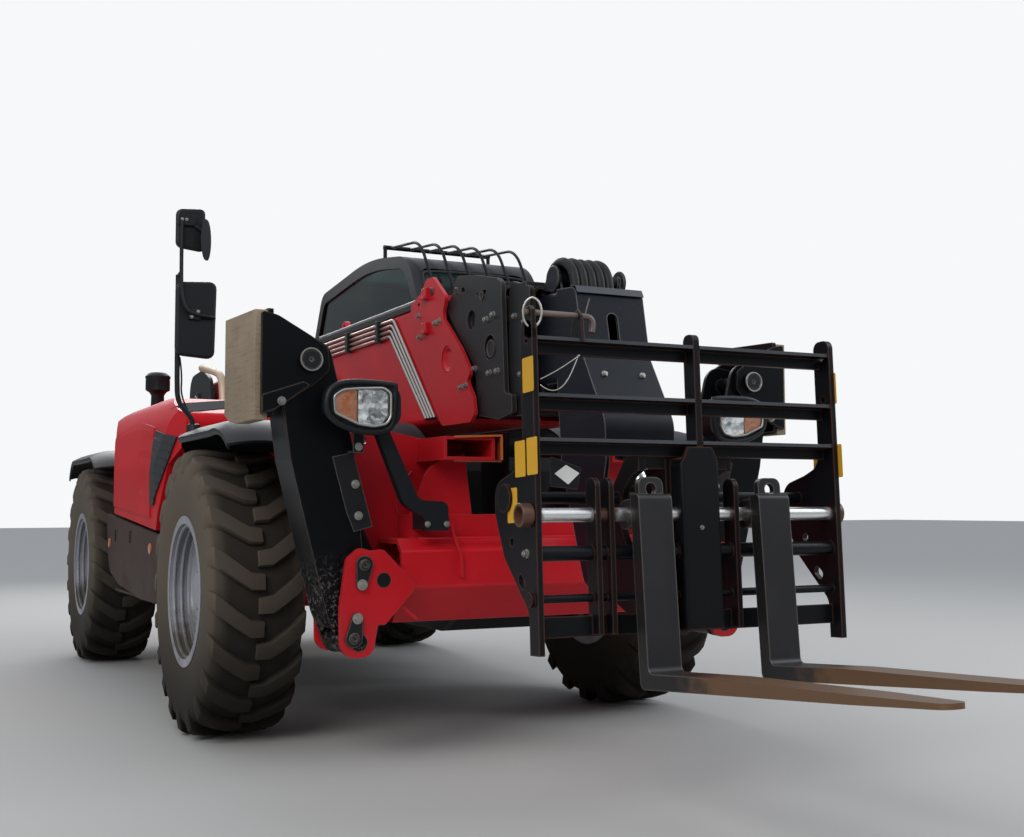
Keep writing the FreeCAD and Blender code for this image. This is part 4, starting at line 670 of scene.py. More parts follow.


# The carriage is an open frame of bars between two cheeks, black where it isn't rubbed.
# Light grey strips along its bars' tops are a painted sky reflection, and its front edges have gone to rust where loads
# scrape.
# A rod with a ring locks the forks, and a thin wire holds its clip.

carriage_paint = finish("carriage_black", (0.004, 0.0045, 0.006), 0.36, specular=0.22, dust=0.14,
                        dust_colour=(0.06, 0.052, 0.045), dust_scale=4.0, on_top=0.3, mud_height=0.7, wear=0.66,
                        wear_colour=(0.085, 0.036, 0.024), wear_radius=0.009)
dress(carriage_paint, "carriage_frame")
tilt_carriage = math.radians(2.5)


def leaned(x, station, z):
    """Point on the carriage, which leans back a little about the tilt pin."""
    ds, dz = station - 1.840, z - 0.800
    return at(x, 1.840 + ds * math.cos(tilt_carriage) - dz * math.sin(tilt_carriage),
              0.800 + ds * math.sin(tilt_carriage) + dz * math.cos(tilt_carriage))


rod_steel = finish("rusty_rod", (0.22, 0.17, 0.145), 0.5, dust=0.5, dust_colour=(0.085, 0.035, 0.022), dust_scale=9.0,
                   on_top=0.0, metallic=0.55, variation=0.3)
lock_rod = [leaned(-0.612, 2.175, 1.585), leaned(-0.400, 2.175, 1.585), leaned(-0.372, 2.175, 1.583),
            leaned(-0.360, 2.172, 1.560), leaned(-0.366, 2.170, 1.535)]
lock_parts = [tube(lock_rod, 0.010)]
lock_parts.append(tube([leaned(-0.398, 2.190, 1.592), leaned(-0.386, 2.197, 1.640)], 0.0022, rounded=False))
piece("fork_lock_rod", joined(*lock_parts), rod_steel, "carriage", True)

ring_wire = finish("zinc_wire", (0.50, 0.47, 0.43), 0.35, dust=0.2, metallic=0.7)
ring_middle = leaned(-0.588, 2.185, 1.583)
ring_points = [ring_middle + Vector((0.025 * math.sin(a), -0.016 * math.sin(a), 0.048 * math.cos(a)))
               for a in [2 * math.pi * step / 14 for step in range(14)]]
wires = [tube(ring_points, 0.0036, closed=True)]
wires.append(tube([leaned(-0.43, 2.192, 1.455), leaned(-0.46, 2.205, 1.400), leaned(-0.50, 2.212, 1.345),
                   leaned(-0.545, 2.205, 1.330), leaned(-0.575, 2.203, 1.352)], 0.0018))
wires.append(tube([leaned(-0.425, 2.192, 1.455), leaned(-0.475, 2.208, 1.425), leaned(-0.53, 2.208, 1.392),
                   leaned(-0.575, 2.203, 1.370)], 0.0018))
piece("lock_ring_and_wire", joined(*wires), ring_wire, "carriage", True)

lugs = []
lug = [leaned(-0.412, 2.120, 1.500), leaned(-0.412, 2.205, 1.500), leaned(-0.412, 2.198, 1.585),
       leaned(-0.412, 2.176, 1.606), leaned(-0.412, 2.152, 1.592)]
lugs.append(pushed(lug, Vector((-0.010, 0, 0)), 0.002))
eye = [leaned(-0.600, 2.150, 1.500), leaned(-0.600, 2.200, 1.500), leaned(-0.600, 2.200, 1.592),
       leaned(-0.600, 2.182, 1.606), leaned(-0.600, 2.158, 1.602), leaned(-0.600, 2.150, 1.580)]
lugs.append(pushed(eye, Vector((0.016, 0, 0)), 0.002))
piece("lock_rod_lugs", joined(*lugs), carriage_paint, "carriage")

sign_yellow = finish("blank_yellow_sign", (0.62, 0.33, 0.02), 0.4, dust=0.25, variation=0.1)
signs = []
for x in (-0.6006, 0.6006):
    push = Vector((-0.0012 if x < 0 else 0.0012, 0, 0))
    for low, high, back, front in ((1.333, 1.443, 2.134, 2.207), (1.072, 1.186, 2.069, 2.139),
                                   (1.074, 1.19, 2.151, 2.22), (0.93, 1.041, 2.008, 2.077)):
        outline = [leaned(x, back, low), leaned(x, front, low), leaned(x, front, high), leaned(x, back, high)]
        signs.append(pushed(outline, push, 0.0, 0.006))
piece("cheek_signs", joined(*signs), sign_yellow, "carriage")

# Painted sky reflection: a light grey strip along the top of each bar's front face.
bar_top_highlights = []
for z in (1.4985, 1.3185, 1.1785):
    for start, end in ((-0.579, 0.009), (0.035, 0.579)):
        outline = [leaned(start, 2.194, z), leaned(end, 2.194, z), leaned(end, 2.194, z + 0.011),
                   leaned(start, 2.194, z + 0.011)]
        bar_top_highlights.append(pushed(outline, ahead * 0.0015, 0.0004))
piece("bar_painted_highlights", joined(*bar_top_highlights), worn_edge_and_highlight_grey, "carriage")
tag_plate = [leaned(-0.520, 2.150, 1.135), leaned(-0.410, 2.150, 1.100), leaned(-0.425, 2.150, 1.030),
             leaned(-0.525, 2.150, 1.040)]
piece("tag_plate", pushed(tag_plate, ahead * 0.005, 0.001, 0.006), black_paint, "carriage")
tag = [leaned(-0.508, 2.156, 1.080), leaned(-0.466, 2.156, 1.108), leaned(-0.418, 2.156, 1.082),
       leaned(-0.460, 2.156, 1.046)]
paper = finish("blank_white_tag", (0.62, 0.62, 0.60), 0.6, dust=0.2)
piece("white_tag", pushed(tag, ahead * 0.0012, 0.0, 0.003), paper, "carriage")
carriage_bolts = [(leaned(0.010, 2.2045, 0.905), ahead, 0.006), (leaned(-0.6012, 2.135, 0.832), -left, 0.011),
                  (leaned(0.6012, 2.135, 0.832), left, 0.011)]
bolts("carriage_bolts", carriage_bolts, zinc, "carriage")


# The forks are forged bars, dark and scraped, whose blades are tan with dust towards their tips.
# They float on a bright shaft, rusty beside the ribs that hold it.

fork_steel = finish("worn_fork_steel", (0.021, 0.020, 0.021), 0.42, dust=0.25, dust_colour=(0.12, 0.085, 0.055),
                    dust_scale=3.5, mud_height=0.5, on_top=0.2, wear=0.8, wear_colour=(0.17, 0.15, 0.13),
                    wear_radius=0.007, metallic=0.35, variation=0.35)
tree = fork_steel.node_tree
shader = tree.nodes["Principled BSDF"]
place = add_node(tree, "ShaderNodeTexCoord").outputs["Object"]
along = add_node(tree, "ShaderNodeSeparateXYZ", Vector=place).outputs["Y"]
tan_mask = ramp(tree, maths(tree, "ADD", along, maths(tree, "MULTIPLY", noise(tree, place, 9.0), 0.6)), -2.42, -2.64)
before = shader.inputs["Base Color"].links[0].from_socket
tree.links.new(blend_colours(tree, tan_mask, before, (0.160, 0.088, 0.046)), shader.inputs["Base Color"])
dress(fork_steel, "fork_right", "fork_left")

shaft_steel = finish("shaft_chrome", (0.86, 0.85, 0.84), 0.34, dust=0.08, metallic=0.8, bump=0.03)
tree = shaft_steel.node_tree
shader = tree.nodes["Principled BSDF"]
place = add_node(tree, "ShaderNodeTexCoord").outputs["Object"]
across = add_node(tree, "ShaderNodeSeparateXYZ", Vector=place).outputs["X"]
rust_mask = None
for x in (-0.640, -0.615, -0.335, 0.30, 0.615):
    away = maths(tree, "ABSOLUTE", maths(tree, "SUBTRACT", across, x))
    near = maths(tree, "SUBTRACT", away, maths(tree, "MULTIPLY", noise(tree, place, 30.0), 0.05))
    near = ramp(tree, near, 0.035, 0.005)
    rust_mask = near if rust_mask is None else maths(tree, "MAXIMUM", rust_mask, near)
before = shader.inputs["Base Color"].links[0].from_socket
tree.links.new(blend_colours(tree, rust_mask, before, (0.09, 0.04, 0.025)), shader.inputs["Base Color"])
tree.links.new(maths(tree, "SUBTRACT", 1.0, rust_mask), shader.inputs["Metallic"])
shaft_line = [(0.024, 0), (0.024, 0.0245), (0.0, 0.0275), (0.0, 0.0355), (0.002, 0.0375), (0.037, 0.0375), (0.039, 0.0355),
              (0.0395, 0.0225), (1.2405, 0.0225), (1.241, 0.038), (1.2425, 0.040), (1.2565, 0.040), (1.258, 0.038),
              (1.2585, 0.0225), (1.265, 0.0215), (1.265, 0)]
shaft = piece("turned_fork_shaft", turned(shaft_line, leaned(-0.640, 2.160, 0.950), left, 48), shaft_steel, "carriage")
smooth_by_angle(shaft.data, 30)
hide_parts("fork_shaft")


# The lift and tilt cylinders are black barrels with chromed rods.

rod_chrome = finish("rod_chrome", (0.75, 0.75, 0.76), 0.12, dust=0.06, metallic=1.0, bump=0.02, variation=0.04)
dress(rod_chrome, "lift_rod", "tilt_rod", "stabiliser_rod_right", "stabiliser_rod_left")
dress(black_paint, "lift_cylinder", "tilt_cylinder", "stabiliser_cylinder_right", "stabiliser_cylinder_left")


# Each stabiliser is a black leg folded up beside the beam, scraped pale low down.
# Its foot is folded too, with a wooden board bolted to the sole, and its pin has a bright ring.

leg_paint = finish("leg_black", (0.003, 0.0035, 0.005), 0.32, specular=0.16, dust=0.22, dust_colour=(0.035, 0.024, 0.019),
                   dust_scale=3.0, mud_height=1.1, on_top=0.3, wear=0.55, wear_colour=(0.10, 0.075, 0.06),
                   variation=0.2)
tree = leg_paint.node_tree
shader = tree.nodes["Principled BSDF"]
place = add_node(tree, "ShaderNodeTexCoord").outputs["Object"]
low_down = ramp(tree, add_node(tree, "ShaderNodeSeparateXYZ", Vector=place).outputs["Z"], 0.85, 0.60)
specks = ramp(tree, noise(tree, place, 60.0, 4.0, 0.8), 0.53, 0.60)
before = shader.inputs["Base Color"].links[0].from_socket
tree.links.new(blend_colours(tree, maths(tree, "MULTIPLY", low_down, specks), before, (0.16, 0.15, 0.135)),
               shader.inputs["Base Color"])
dress(leg_paint, "stabiliser_leg_right", "stabiliser_leg_left")

board = finish("foot_board_wood", (0.29, 0.225, 0.15), 0.75, dust=0.15, dust_colour=(0.06, 0.045, 0.035), dust_scale=6.0,
               on_top=0.0, mud_height=0.1, bump=0.3, bump_scale=120.0, variation=0.25)
tree = board.node_tree
shader = tree.nodes["Principled BSDF"]
place = add_node(tree, "ShaderNodeTexCoord").outputs["Object"]
grain_place = add_node(tree, "ShaderNodeMapping", Vector=place, Scale=(20.0, 3.0, 40.0))
wood_lines = ramp(tree, noise(tree, grain_place.outputs[0], 2.0, 5.0, 0.7), 0.45, 0.7, 0.0, 0.55)
before = shader.inputs["Base Color"].links[0].from_socket
tree.links.new(blend_colours(tree, wood_lines, before, (0.16, 0.095, 0.05)), shader.inputs["Base Color"])
for side, name in ((-1, "right"), (1, "left")):
    plank = [(0.722, 1.722), (0.722, 1.348), (0.800, 1.318), (0.900, 1.305), (1.156, 1.305), (1.156, 1.708)]
    made = piece("wooden_board_" + name, pushed([at(side * 1.1525, s, z) for s, z in plank], left * side * 0.049, 0.004),
                 board, "foot_" + name)
    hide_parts("foot_board_" + name)
    cheek = [(1.180, 1.702), (1.120, 1.690), (0.985, 1.615), (0.928, 1.575), (0.922, 1.495), (0.975, 1.445),
             (1.128, 1.342), (1.180, 1.322)]
    inner_cheek = [(min(x, 1.150), z) for x, z in cheek]
    foot_parts = [pushed([at(side * x, 1.158, z) for x, z in cheek], ahead * 0.016, 0.002, 0.012),
                  pushed([at(side * x, 0.926, z) for x, z in inner_cheek], ahead * 0.016, 0.002, 0.012),
                  pushed([at(side * 1.132, 0.810, 1.318), at(side * 1.132, 1.160, 1.318), at(side * 1.132, 1.160, 1.715),
                          at(side * 1.132, 0.810, 1.725)], left * side * 0.020, 0.002, 0.01),
                  pushed([at(side * x, 1.1735, z) for x, z in ((1.176, 1.395), (1.022, 1.448), (1.000, 1.436),
                                                               (1.126, 1.348), (1.176, 1.328))], ahead * 0.004, 0.001)]
    made = piece("folded_foot_" + name, joined(*foot_parts), leg_paint, "foot_" + name)
    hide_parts("stabiliser_foot_" + name)

for side, name in ((-1, "right"), (1, "left")):
    guard = [(0.906, 1.176), (0.824, 1.195), (0.747, 0.918), (0.819, 0.898), (0.849, 0.968)]
    guard_plate = pushed([at(side * x, 1.1515, z) for x, z in guard], ahead * 0.008, 0.0015)
    piece("cylinder_guard_" + name, guard_plate, keeper_paint, "leg_" + name)
    guard_bolts = [(at(side * 0.816, 1.1605, 1.075), ahead, 0.011), (at(side * 0.803, 1.1605, 0.958), ahead, 0.011)]
    bolts("guard_bolts_" + name, guard_bolts, zinc, "leg_" + name, 1.5)
    pin = at(side * 0.9993, 1.1905, 1.5297)
    ring = turned([(0, 0.0365), (0, 0.042), (0.005, 0.044), (0.009, 0.0425), (0.009, 0.0385), (0.005, 0.0365)], pin, ahead, 48)
    piece("foot_pin_ring_" + name, ring, zinc, "foot_" + name)
    face = turned([(0, 0), (0, 0.036), (0.004, 0.036), (0.006, 0.034), (0.006, 0.008), (0.003, 0.006), (0.003, 0)], pin,
                  ahead, 40)
    piece("foot_pin_face_" + name, face, keeper_paint, "foot_" + name)
    leg_bolts = [(at(side * 1.105, 1.178, 1.375), ahead, 0.012)]
    bolts("foot_bolts_" + name, leg_bolts, zinc, "foot_" + name)
    board_bolts = []
    for station in (0.86, 1.08):
        for z in (1.38, 1.64):
            board_bolts.append((at(side * 1.1315, station, z), -left * side, 0.009))
    bolts("board_bolts_" + name, board_bolts, steel_ring, "foot_" + name, 1.9)


# The tyres are broad field tyres with slanting lugs, dusty brown and worn smooth at the tread.
# One lug pair is made, and copies of it go round the axle at even steps.

around_tree = bpy.data.node_groups.new("copies_around_axle", "GeometryNodeTree")
around_tree.interface.new_socket("Geometry", in_out="INPUT", socket_type="NodeSocketGeometry")
around_tree.interface.new_socket("Geometry", in_out="OUTPUT", socket_type="NodeSocketGeometry")
copy_count = around_tree.interface.new_socket("Count", in_out="INPUT", socket_type="NodeSocketInt")
copy_finish = around_tree.interface.new_socket("Finish", in_out="INPUT", socket_type="NodeSocketMaterial")
enters = around_tree.nodes.new("NodeGroupInput")
leaves = around_tree.nodes.new("NodeGroupOutput")
spots = add_node(around_tree, "GeometryNodeMeshLine", Count=enters.outputs["Count"], Offset=(0, 0, 0))
step_angle = maths(around_tree, "DIVIDE", 2 * math.pi, enters.outputs["Count"])
number = add_node(around_tree, "GeometryNodeInputIndex").outputs[0]
turn_by = add_node(around_tree, "ShaderNodeCombineXYZ", X=maths(around_tree, "MULTIPLY", number, step_angle))
copies = add_node(around_tree, "GeometryNodeInstanceOnPoints", Points=spots.outputs["Mesh"],
                  Instance=enters.outputs["Geometry"], Rotation=turn_by.outputs[0])
real = add_node(around_tree, "GeometryNodeRealizeInstances", Geometry=copies.outputs["Instances"])
coloured = add_node(around_tree, "GeometryNodeSetMaterial", Geometry=real.outputs[0], Material=enters.outputs["Finish"])
around_tree.links.new(coloured.outputs[0], leaves.inputs["Geometry"])


def around(mesh, count, material):
    """Copies of a mesh around the X axis."""
    source = loose(mesh)
    modifier = source.modifiers.new("around", "NODES")
    modifier.node_group = around_tree
    modifier[copy_count.identifier] = count
    modifier[copy_finish.identifier] = material
    return applied(source)


def lug_mesh(side, lead):
    """Slanting lug from the middle of the tread to the shoulder and a little down the side."""
    shape = bmesh.new()
    rows = []
    for x, angle, base, top, half_wide in ((-0.012, 0.208, 0.583, 0.621, 0.031), (0.045, 0.200, 0.582, 0.6245, 0.034),
                                           (0.105, 0.130, 0.580, 0.623, 0.036), (0.158, 0.062, 0.572, 0.617, 0.038),
                                           (0.187, 0.020, 0.552, 0.603, 0.037), (0.1985, 0.0, 0.515, 0.565, 0.029)):
        middle = lead + angle
        row = []
        for radius, wide in ((base, half_wide + 0.006), (top, half_wide)):
            for sign in (-1, 1):
                around_angle = middle + sign * wide / radius
                row.append(shape.verts.new((side * x, radius * math.cos(around_angle), radius * math.sin(around_angle))))
        rows.append(row)
    for here, there in zip(rows, rows[1:]):
        shape.faces.new((here[0], here[1], there[1], there[0]))
        shape.faces.new((here[2], there[2], there[3], here[3]))
        shape.faces.new((here[0], there[0], there[2], here[2]))
        shape.faces.new((here[1], here[3], there[3], there[1]))
    shape.faces.new((rows[0][0], rows[0][2], rows[0][3], rows[0][1]))
    shape.faces.new((rows[-1][0], rows[-1][1], rows[-1][3], rows[-1][2]))
    bmesh.ops.recalc_face_normals(shape, faces=list(shape.faces))
    top_edges = [e for e in shape.edges if len(e.link_faces) == 2 and e.calc_face_angle(0) > 0.6]
    bmesh.ops.bevel(shape, geom=top_edges, offset=0.004, segments=2, affect="EDGES", profile=0.6)
    mesh = bpy.data.meshes.new("lug")
    shape.to_mesh(mesh)
    shape.free()
    return mesh


rubber = finish("tyre_rubber", (0.014, 0.012, 0.010), 0.8, dust=0.62, dust_colour=(0.062, 0.050, 0.038), dust_scale=6.5,
                mud_height=0.0, on_top=0.3, bump=0.8, bump_scale=60.0, variation=0.35, specular=0.25)
tree = rubber.node_tree
shader = tree.nodes["Principled BSDF"]
sideways = add_node(tree, "ShaderNodeSeparateXYZ", Vector=add_node(tree, "ShaderNodeTexCoord").outputs["Normal"])
side_wall = ramp(tree, maths(tree, "ABSOLUTE", sideways.outputs["X"]), 0.55, 0.95, 0.0, 0.75)
before = shader.inputs["Base Color"].links[0].from_socket
walls = blend_colours(tree, side_wall, before, (0.122, 0.098, 0.072))
low_down = add_node(tree, "ShaderNodeSeparateXYZ", Vector=add_node(tree, "ShaderNodeTexCoord").outputs["Object"])
# Painted shade: the rubber darkens towards the ground.
painted_low_shade = ramp(tree, low_down.outputs["Z"], 0.75, 0.10, 0.0, 0.85)
walls = blend_colours(tree, painted_low_shade, walls, (0.008, 0.0065, 0.005))
# Painted shade: the floors between the lugs near the crown are darkened, found by distance from each wheel's axle.
to_front = maths(tree, "ABSOLUTE", maths(tree, "ADD", low_down.outputs["Y"], 0.315))
to_rear = maths(tree, "ABSOLUTE", maths(tree, "SUBTRACT", low_down.outputs["Y"], 2.755))
along = maths(tree, "MINIMUM", to_front, to_rear)
above = maths(tree, "SUBTRACT", low_down.outputs["Z"], 0.625)
squares = maths(tree, "ADD", maths(tree, "MULTIPLY", along, along), maths(tree, "MULTIPLY", above, above))
from_middle = maths(tree, "SUBTRACT", maths(tree, "ABSOLUTE", low_down.outputs["X"]), 1.010)
crown = ramp(tree, maths(tree, "ABSOLUTE", from_middle), 0.12, 0.175, 1.0, 0.0)
painted_groove_shade = maths(tree, "MULTIPLY", crown, ramp(tree, maths(tree, "POWER", squares, 0.5), 0.594, 0.613, 0.75, 0.0))
tree.links.new(blend_colours(tree, painted_groove_shade, walls, (0.009, 0.0075, 0.006)), shader.inputs["Base Color"])
rim_paint = finish("silver_rim_paint", (0.30, 0.305, 0.335), 0.4, dust=0.40, dust_colour=(0.09, 0.075, 0.06),
                   dust_scale=5.0, wear=0.3, metallic=0.25, wear_colour=(0.1, 0.06, 0.04))
carcass = [(-0.150, 0.309), (-0.178, 0.322), (-0.186, 0.345), (-0.194, 0.400), (-0.200, 0.455), (-0.199, 0.505),
           (-0.192, 0.545), (-0.176, 0.572), (-0.140, 0.586), (-0.070, 0.591), (0.0, 0.592), (0.070, 0.591),
           (0.140, 0.586), (0.176, 0.572), (0.192, 0.545), (0.199, 0.505), (0.200, 0.455), (0.194, 0.400),
           (0.186, 0.345), (0.178, 0.322), (0.150, 0.309)]
for name in ("front_right", "front_left", "rear_right", "rear_left"):
    low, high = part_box("tyre_" + name)
    middle = (low + high) / 2
    body = turned(carcass, Vector((0, 0, 0)), left, 96)
    beads = turned([(0.1905, 0.420), (0.1985, 0.424), (0.1985, 0.430), (0.1910, 0.434)], Vector((0, 0, 0)), left, 96)
    lugs = around(joined(lug_mesh(-1, 0.0), lug_mesh(1, math.pi / 20)), 20, rubber)
    whole = joined(body, beads, lugs)
    whole.transform(Matrix.Translation(middle))
    tyre = piece("treaded_tyre_" + name, whole, rubber, "wheel_" + name)
    smooth_by_angle(tyre.data, 40)
    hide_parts("tyre_" + name)
    side = -1 if middle.x < 0 else 1
    out = left * side
    rim_middle = Vector((middle.x, middle.y, middle.z))
    nuts = []
    for step in range(10):
        angle = 2 * math.pi * step / 10
        nuts.append((rim_middle + out * 0.061 + Vector((0, 0.180 * math.cos(angle), 0.180 * math.sin(angle))), out, 0.014))
    bolts("wheel_nuts_" + name, nuts, zinc, "wheel_" + name, 1.4)
    caps = [turned([(0, 0), (0, 0.085), (0.006, 0.088), (0.016, 0.080), (0.022, 0.055), (0.024, 0)],
                   rim_middle + out * 0.111, out, 40)]
    caps.append(turned([(0, 0), (0, 0.010), (0.03, 0.009), (0.03, 0)],
                       rim_middle + out * 0.100 + Vector((0, 0, 0.262)), out, 16))
    for offset, radius in ((0.100, 0.281), (0.132, 0.286), (0.164, 0.288)):
        ring_path = [rim_middle + out * offset + Vector((0, radius * math.cos(a), radius * math.sin(a)))
                     for a in [2 * math.pi * step / 32 for step in range(32)]]
        caps.append(tube(ring_path, 0.008, closed=True))
    hub_cap = piece("hub_cap_" + name, joined(*caps), rim_paint, "wheel_" + name)
dress(rim_paint, "rim_front_right", "rim_front_left", "rim_rear_right", "rim_rear_left")


# The hood is one glossy red shell over the engine, creased along its side, with a slatted intake.
# Strips that follow its skin are found by casting rays at the shell, for the inset panel on its top
# and the gaps round its access flap.

hood_red = finish("hood_red_paint", (0.56, 0.008, 0.014), 0.38, specular=0.10, dust=0.05, dust_colour=(0.16, 0.05, 0.04),
                  dust_scale=1.8, on_top=0.25, mud_height=1.2, wear=0.15, wear_colour=(0.12, 0.05, 0.04), coat=0.0,
                  bump=0.03, variation=0.1)
dress(hood_red, "engine_hood")
panel_grey = finish("panel_grey", (0.016, 0.019, 0.024), 0.8, specular=0.05, dust=0.15, dust_colour=(0.10, 0.09, 0.085), on_top=0.2)


def skin_of(node):
    mesh = frame["nodes"][node].data
    shape = bmesh.new()
    shape.from_mesh(mesh)
    tree = BVHTree.FromBMesh(shape)
    shape.free()
    return tree


def closed_sheet(top, bottom):
    """Closed thin sheet between two grids of points."""
    shape = bmesh.new()
    layers = [[[shape.verts.new(spot) for spot in row] for row in grid] for grid in (top, bottom)]
    count_i, count_j = len(top) - 1, len(top[0]) - 1
    for grid in layers:
        for i in range(count_i):
            for j in range(count_j):
                shape.faces.new((grid[i][j], grid[i + 1][j], grid[i + 1][j + 1], grid[i][j + 1]))
    rim = [(i, 0) for i in range(count_i)] + [(count_i, j) for j in range(count_j)]
    rim += [(i, count_j) for i in range(count_i, 0, -1)] + [(0, j) for j in range(count_j, 0, -1)]
    for here, there in zip(rim, rim[1:] + rim[:1]):
        shape.faces.new((layers[0][here[0]][here[1]], layers[0][there[0]][there[1]],
                         layers[1][there[0]][there[1]], layers[1][here[0]][here[1]]))
    bmesh.ops.recalc_face_normals(shape, faces=list(shape.faces))
    mesh = bpy.data.meshes.new("sheet")
    shape.to_mesh(mesh)
    shape.free()
    return smooth_by_angle(mesh, 40)


def four(corners):
    """Place on a patch between four corners in order."""
    first, second, third, fourth = corners
    return lambda u, v: (first * (1 - u) + second * u) * (1 - v) + (fourth * (1 - u) + third * u) * v


def draped(skin, place, direction, lift, thick, counts=(16, 16)):
    """Thin closed sheet that follows a skin, cast along a direction; it bridges openings along u."""
    direction = direction.normalized()
    columns = []
    for j in range(counts[1] + 1):
        starts = [place(i / counts[0], j / counts[1]) - direction * 2.0 for i in range(counts[0] + 1)]
        reach = [skin.ray_cast(start, direction, 6.0)[3] for start in starts]
        known = [r for r in reach if r is not None]
        near = min(known) if known else 2.0
        good = [i for i, r in enumerate(reach) if r is not None and r < near + 0.09]
        for i in range(counts[0] + 1):
            if i not in good:
                before = max([k for k in good if k < i], default=None)
                after = min([k for k in good if k > i], default=None)
                if before is None or after is None:
                    reach[i] = reach[after if before is None else before]
                else:
                    share = (i - before) / (after - before)
                    reach[i] = reach[before] * (1 - share) + reach[after] * share
        columns.append([start + direction * r for start, r in zip(starts, reach)])
    grid = [[columns[j][i] for j in range(counts[1] + 1)] for i in range(counts[0] + 1)]
    return closed_sheet([[spot - direction * lift for spot in row] for row in grid],
                        [[spot - direction * (lift - thick) for spot in row] for row in grid])


def strip_along(skin, points, width, direction, lift, thick):
    """Narrow draped strips from point to point, joined."""
    parts = []
    for start, end in zip(points, points[1:]):
        across = (end - start).normalized().cross(direction.normalized()) * (width / 2)
        steps = max(2, int((end - start).length / 0.05))
        patch = four((start - across, end - across, end + across, start + across))
        parts.append(draped(skin, patch, direction, lift, thick, (steps, 1)))
    return joined(*parts)


hood_skin = skin_of("engine_hood")
down = Vector((0, 0, -1))
inset_panel = draped(hood_skin, four((at(-1.099, -0.775, 0), at(-1.076, -0.470, 0), at(-0.540, -0.930, 0),
                                      at(-0.540, -1.160, 0))), down, 0.003, 0.012, (20, 8))
piece("hood_inset_panel", inset_panel, panel_grey, "hood")


def side_door(u, v):
    """Place on the hood's side panel, whose top edge is arched."""
    low_point = at(-1.15, -2.36 + 1.33 * u, 1.012 - 0.075 * u)
    high_point = at(-1.15, -2.20 + 1.17 * u, 1.345 + 0.105 * math.sin(math.pi * (0.18 + 0.64 * u)))
    return low_point * (1 - v) + high_point * v


piece("hood_side_panel", draped(hood_skin, side_door, left, 0.006, 0.012, (40, 14)), hood_red, "hood")
intake = four((at(-1.15, -1.010, 1.000), at(-1.15, -0.930, 1.000), at(-1.15, -0.560, 1.330), at(-1.15, -0.985, 1.385)))
intake_grey = finish("intake_grey", (0.013, 0.0145, 0.018), 0.5, dust=0.2, dust_colour=(0.05, 0.045, 0.04), bump=0.1)
piece("intake_panel", draped(hood_skin, intake, left, 0.009, 0.016, (14, 14)), intake_grey, "hood")
intake_lines = []
for step in range(1, 9):
    v = step / 9
    row_start, row_end = intake(0.04, v), intake(0.96, v)
    intake_lines.append(strip_along(hood_skin, [row_start, row_end], 0.007, left, 0.0125, 0.004))
piece("intake_ribs", joined(*intake_lines), intake_grey, "hood")
gap_black = finish("gap_black", (0.006, 0.006, 0.006), 0.8, dust=0.1)
piece("hood_gap", strip_along(hood_skin, [at(-0.46, -0.50, 0), at(-0.46, -2.55, 0)], 0.006, down, 0.0006, 0.003),
      gap_black, "hood")
rubber_black = finish("rubber_seal", (0.010, 0.010, 0.010), 0.6, dust=0.3, dust_colour=(0.06, 0.05, 0.04))

cleaner_middle = at(-0.900, -2.150, 1.585)
up = Vector((0, 0, 1))
cleaner = [turned([(0, 0), (0, 0.040), (0.080, 0.038), (0.100, 0.052), (0.110, 0.070), (0.175, 0.070), (0.185, 0.074),
                   (0.195, 0.074), (0.215, 0.055), (0.222, 0.020), (0.222, 0)], cleaner_middle, up, 40)]
for step in range(12):
    angle = 2 * math.pi * step / 12
    rib = cleaner_middle + Vector((0.070 * math.cos(angle), 0.070 * math.sin(angle), 0.113))
    cleaner.append(tube([rib, rib + Vector((0, 0, 0.060))], 0.003, rounded=False, sides=1))
dark_plastic = finish("dark_grey_plastic", (0.0075, 0.0085, 0.011), 0.45, specular=0.3, dust=0.16, dust_colour=(0.06, 0.055, 0.05),
                      dust_scale=2.0, on_top=0.25, wear=0.0, bump=0.15, bump_scale=500.0)
piece("air_pre_cleaner", joined(*cleaner), dark_plastic, "hood", True)
smooth_by_angle(bpy.data.objects["air_pre_cleaner"].data, 40)


# The lower side cover is plastic grown brown with mud; it has a latch slot and a round reflector.
# The fenders are smooth dark plastic, and the narrow cover behind the hood is red.

cover_grey = finish("muddy_side_cover", (0.048, 0.027, 0.021), 0.5, specular=0.15, dust=0.5,
                    dust_colour=(0.062, 0.042, 0.030),
                    dust_scale=2.2, mud_height=1.0, on_top=0.2, bump=0.3)
cover_outline = [(-2.405, 0.955), (-2.345, 0.800), (-2.325, 0.700), (-2.257, 0.610), (-1.940, 0.546), (-1.260, 0.505),
                 (-0.800, 0.510), (-0.748, 0.600), (-0.757, 0.850)]
cover_mesh = joined(pushed([at(-1.117, s, z) for s, z in cover_outline], Vector((-0.029, 0, 0)), 0.010, 0.035),
                    pushed([at(-1.118, -2.200, 0.500), at(-1.118, -0.900, 0.500), at(-0.312, -0.900, 0.500),
                            at(-0.312, -2.200, 0.500)], Vector((0, 0, 0.015)), 0.001))
cover_piece = piece("muddy_cover", cover_mesh, cover_grey, "machine")
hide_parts("side_cover")


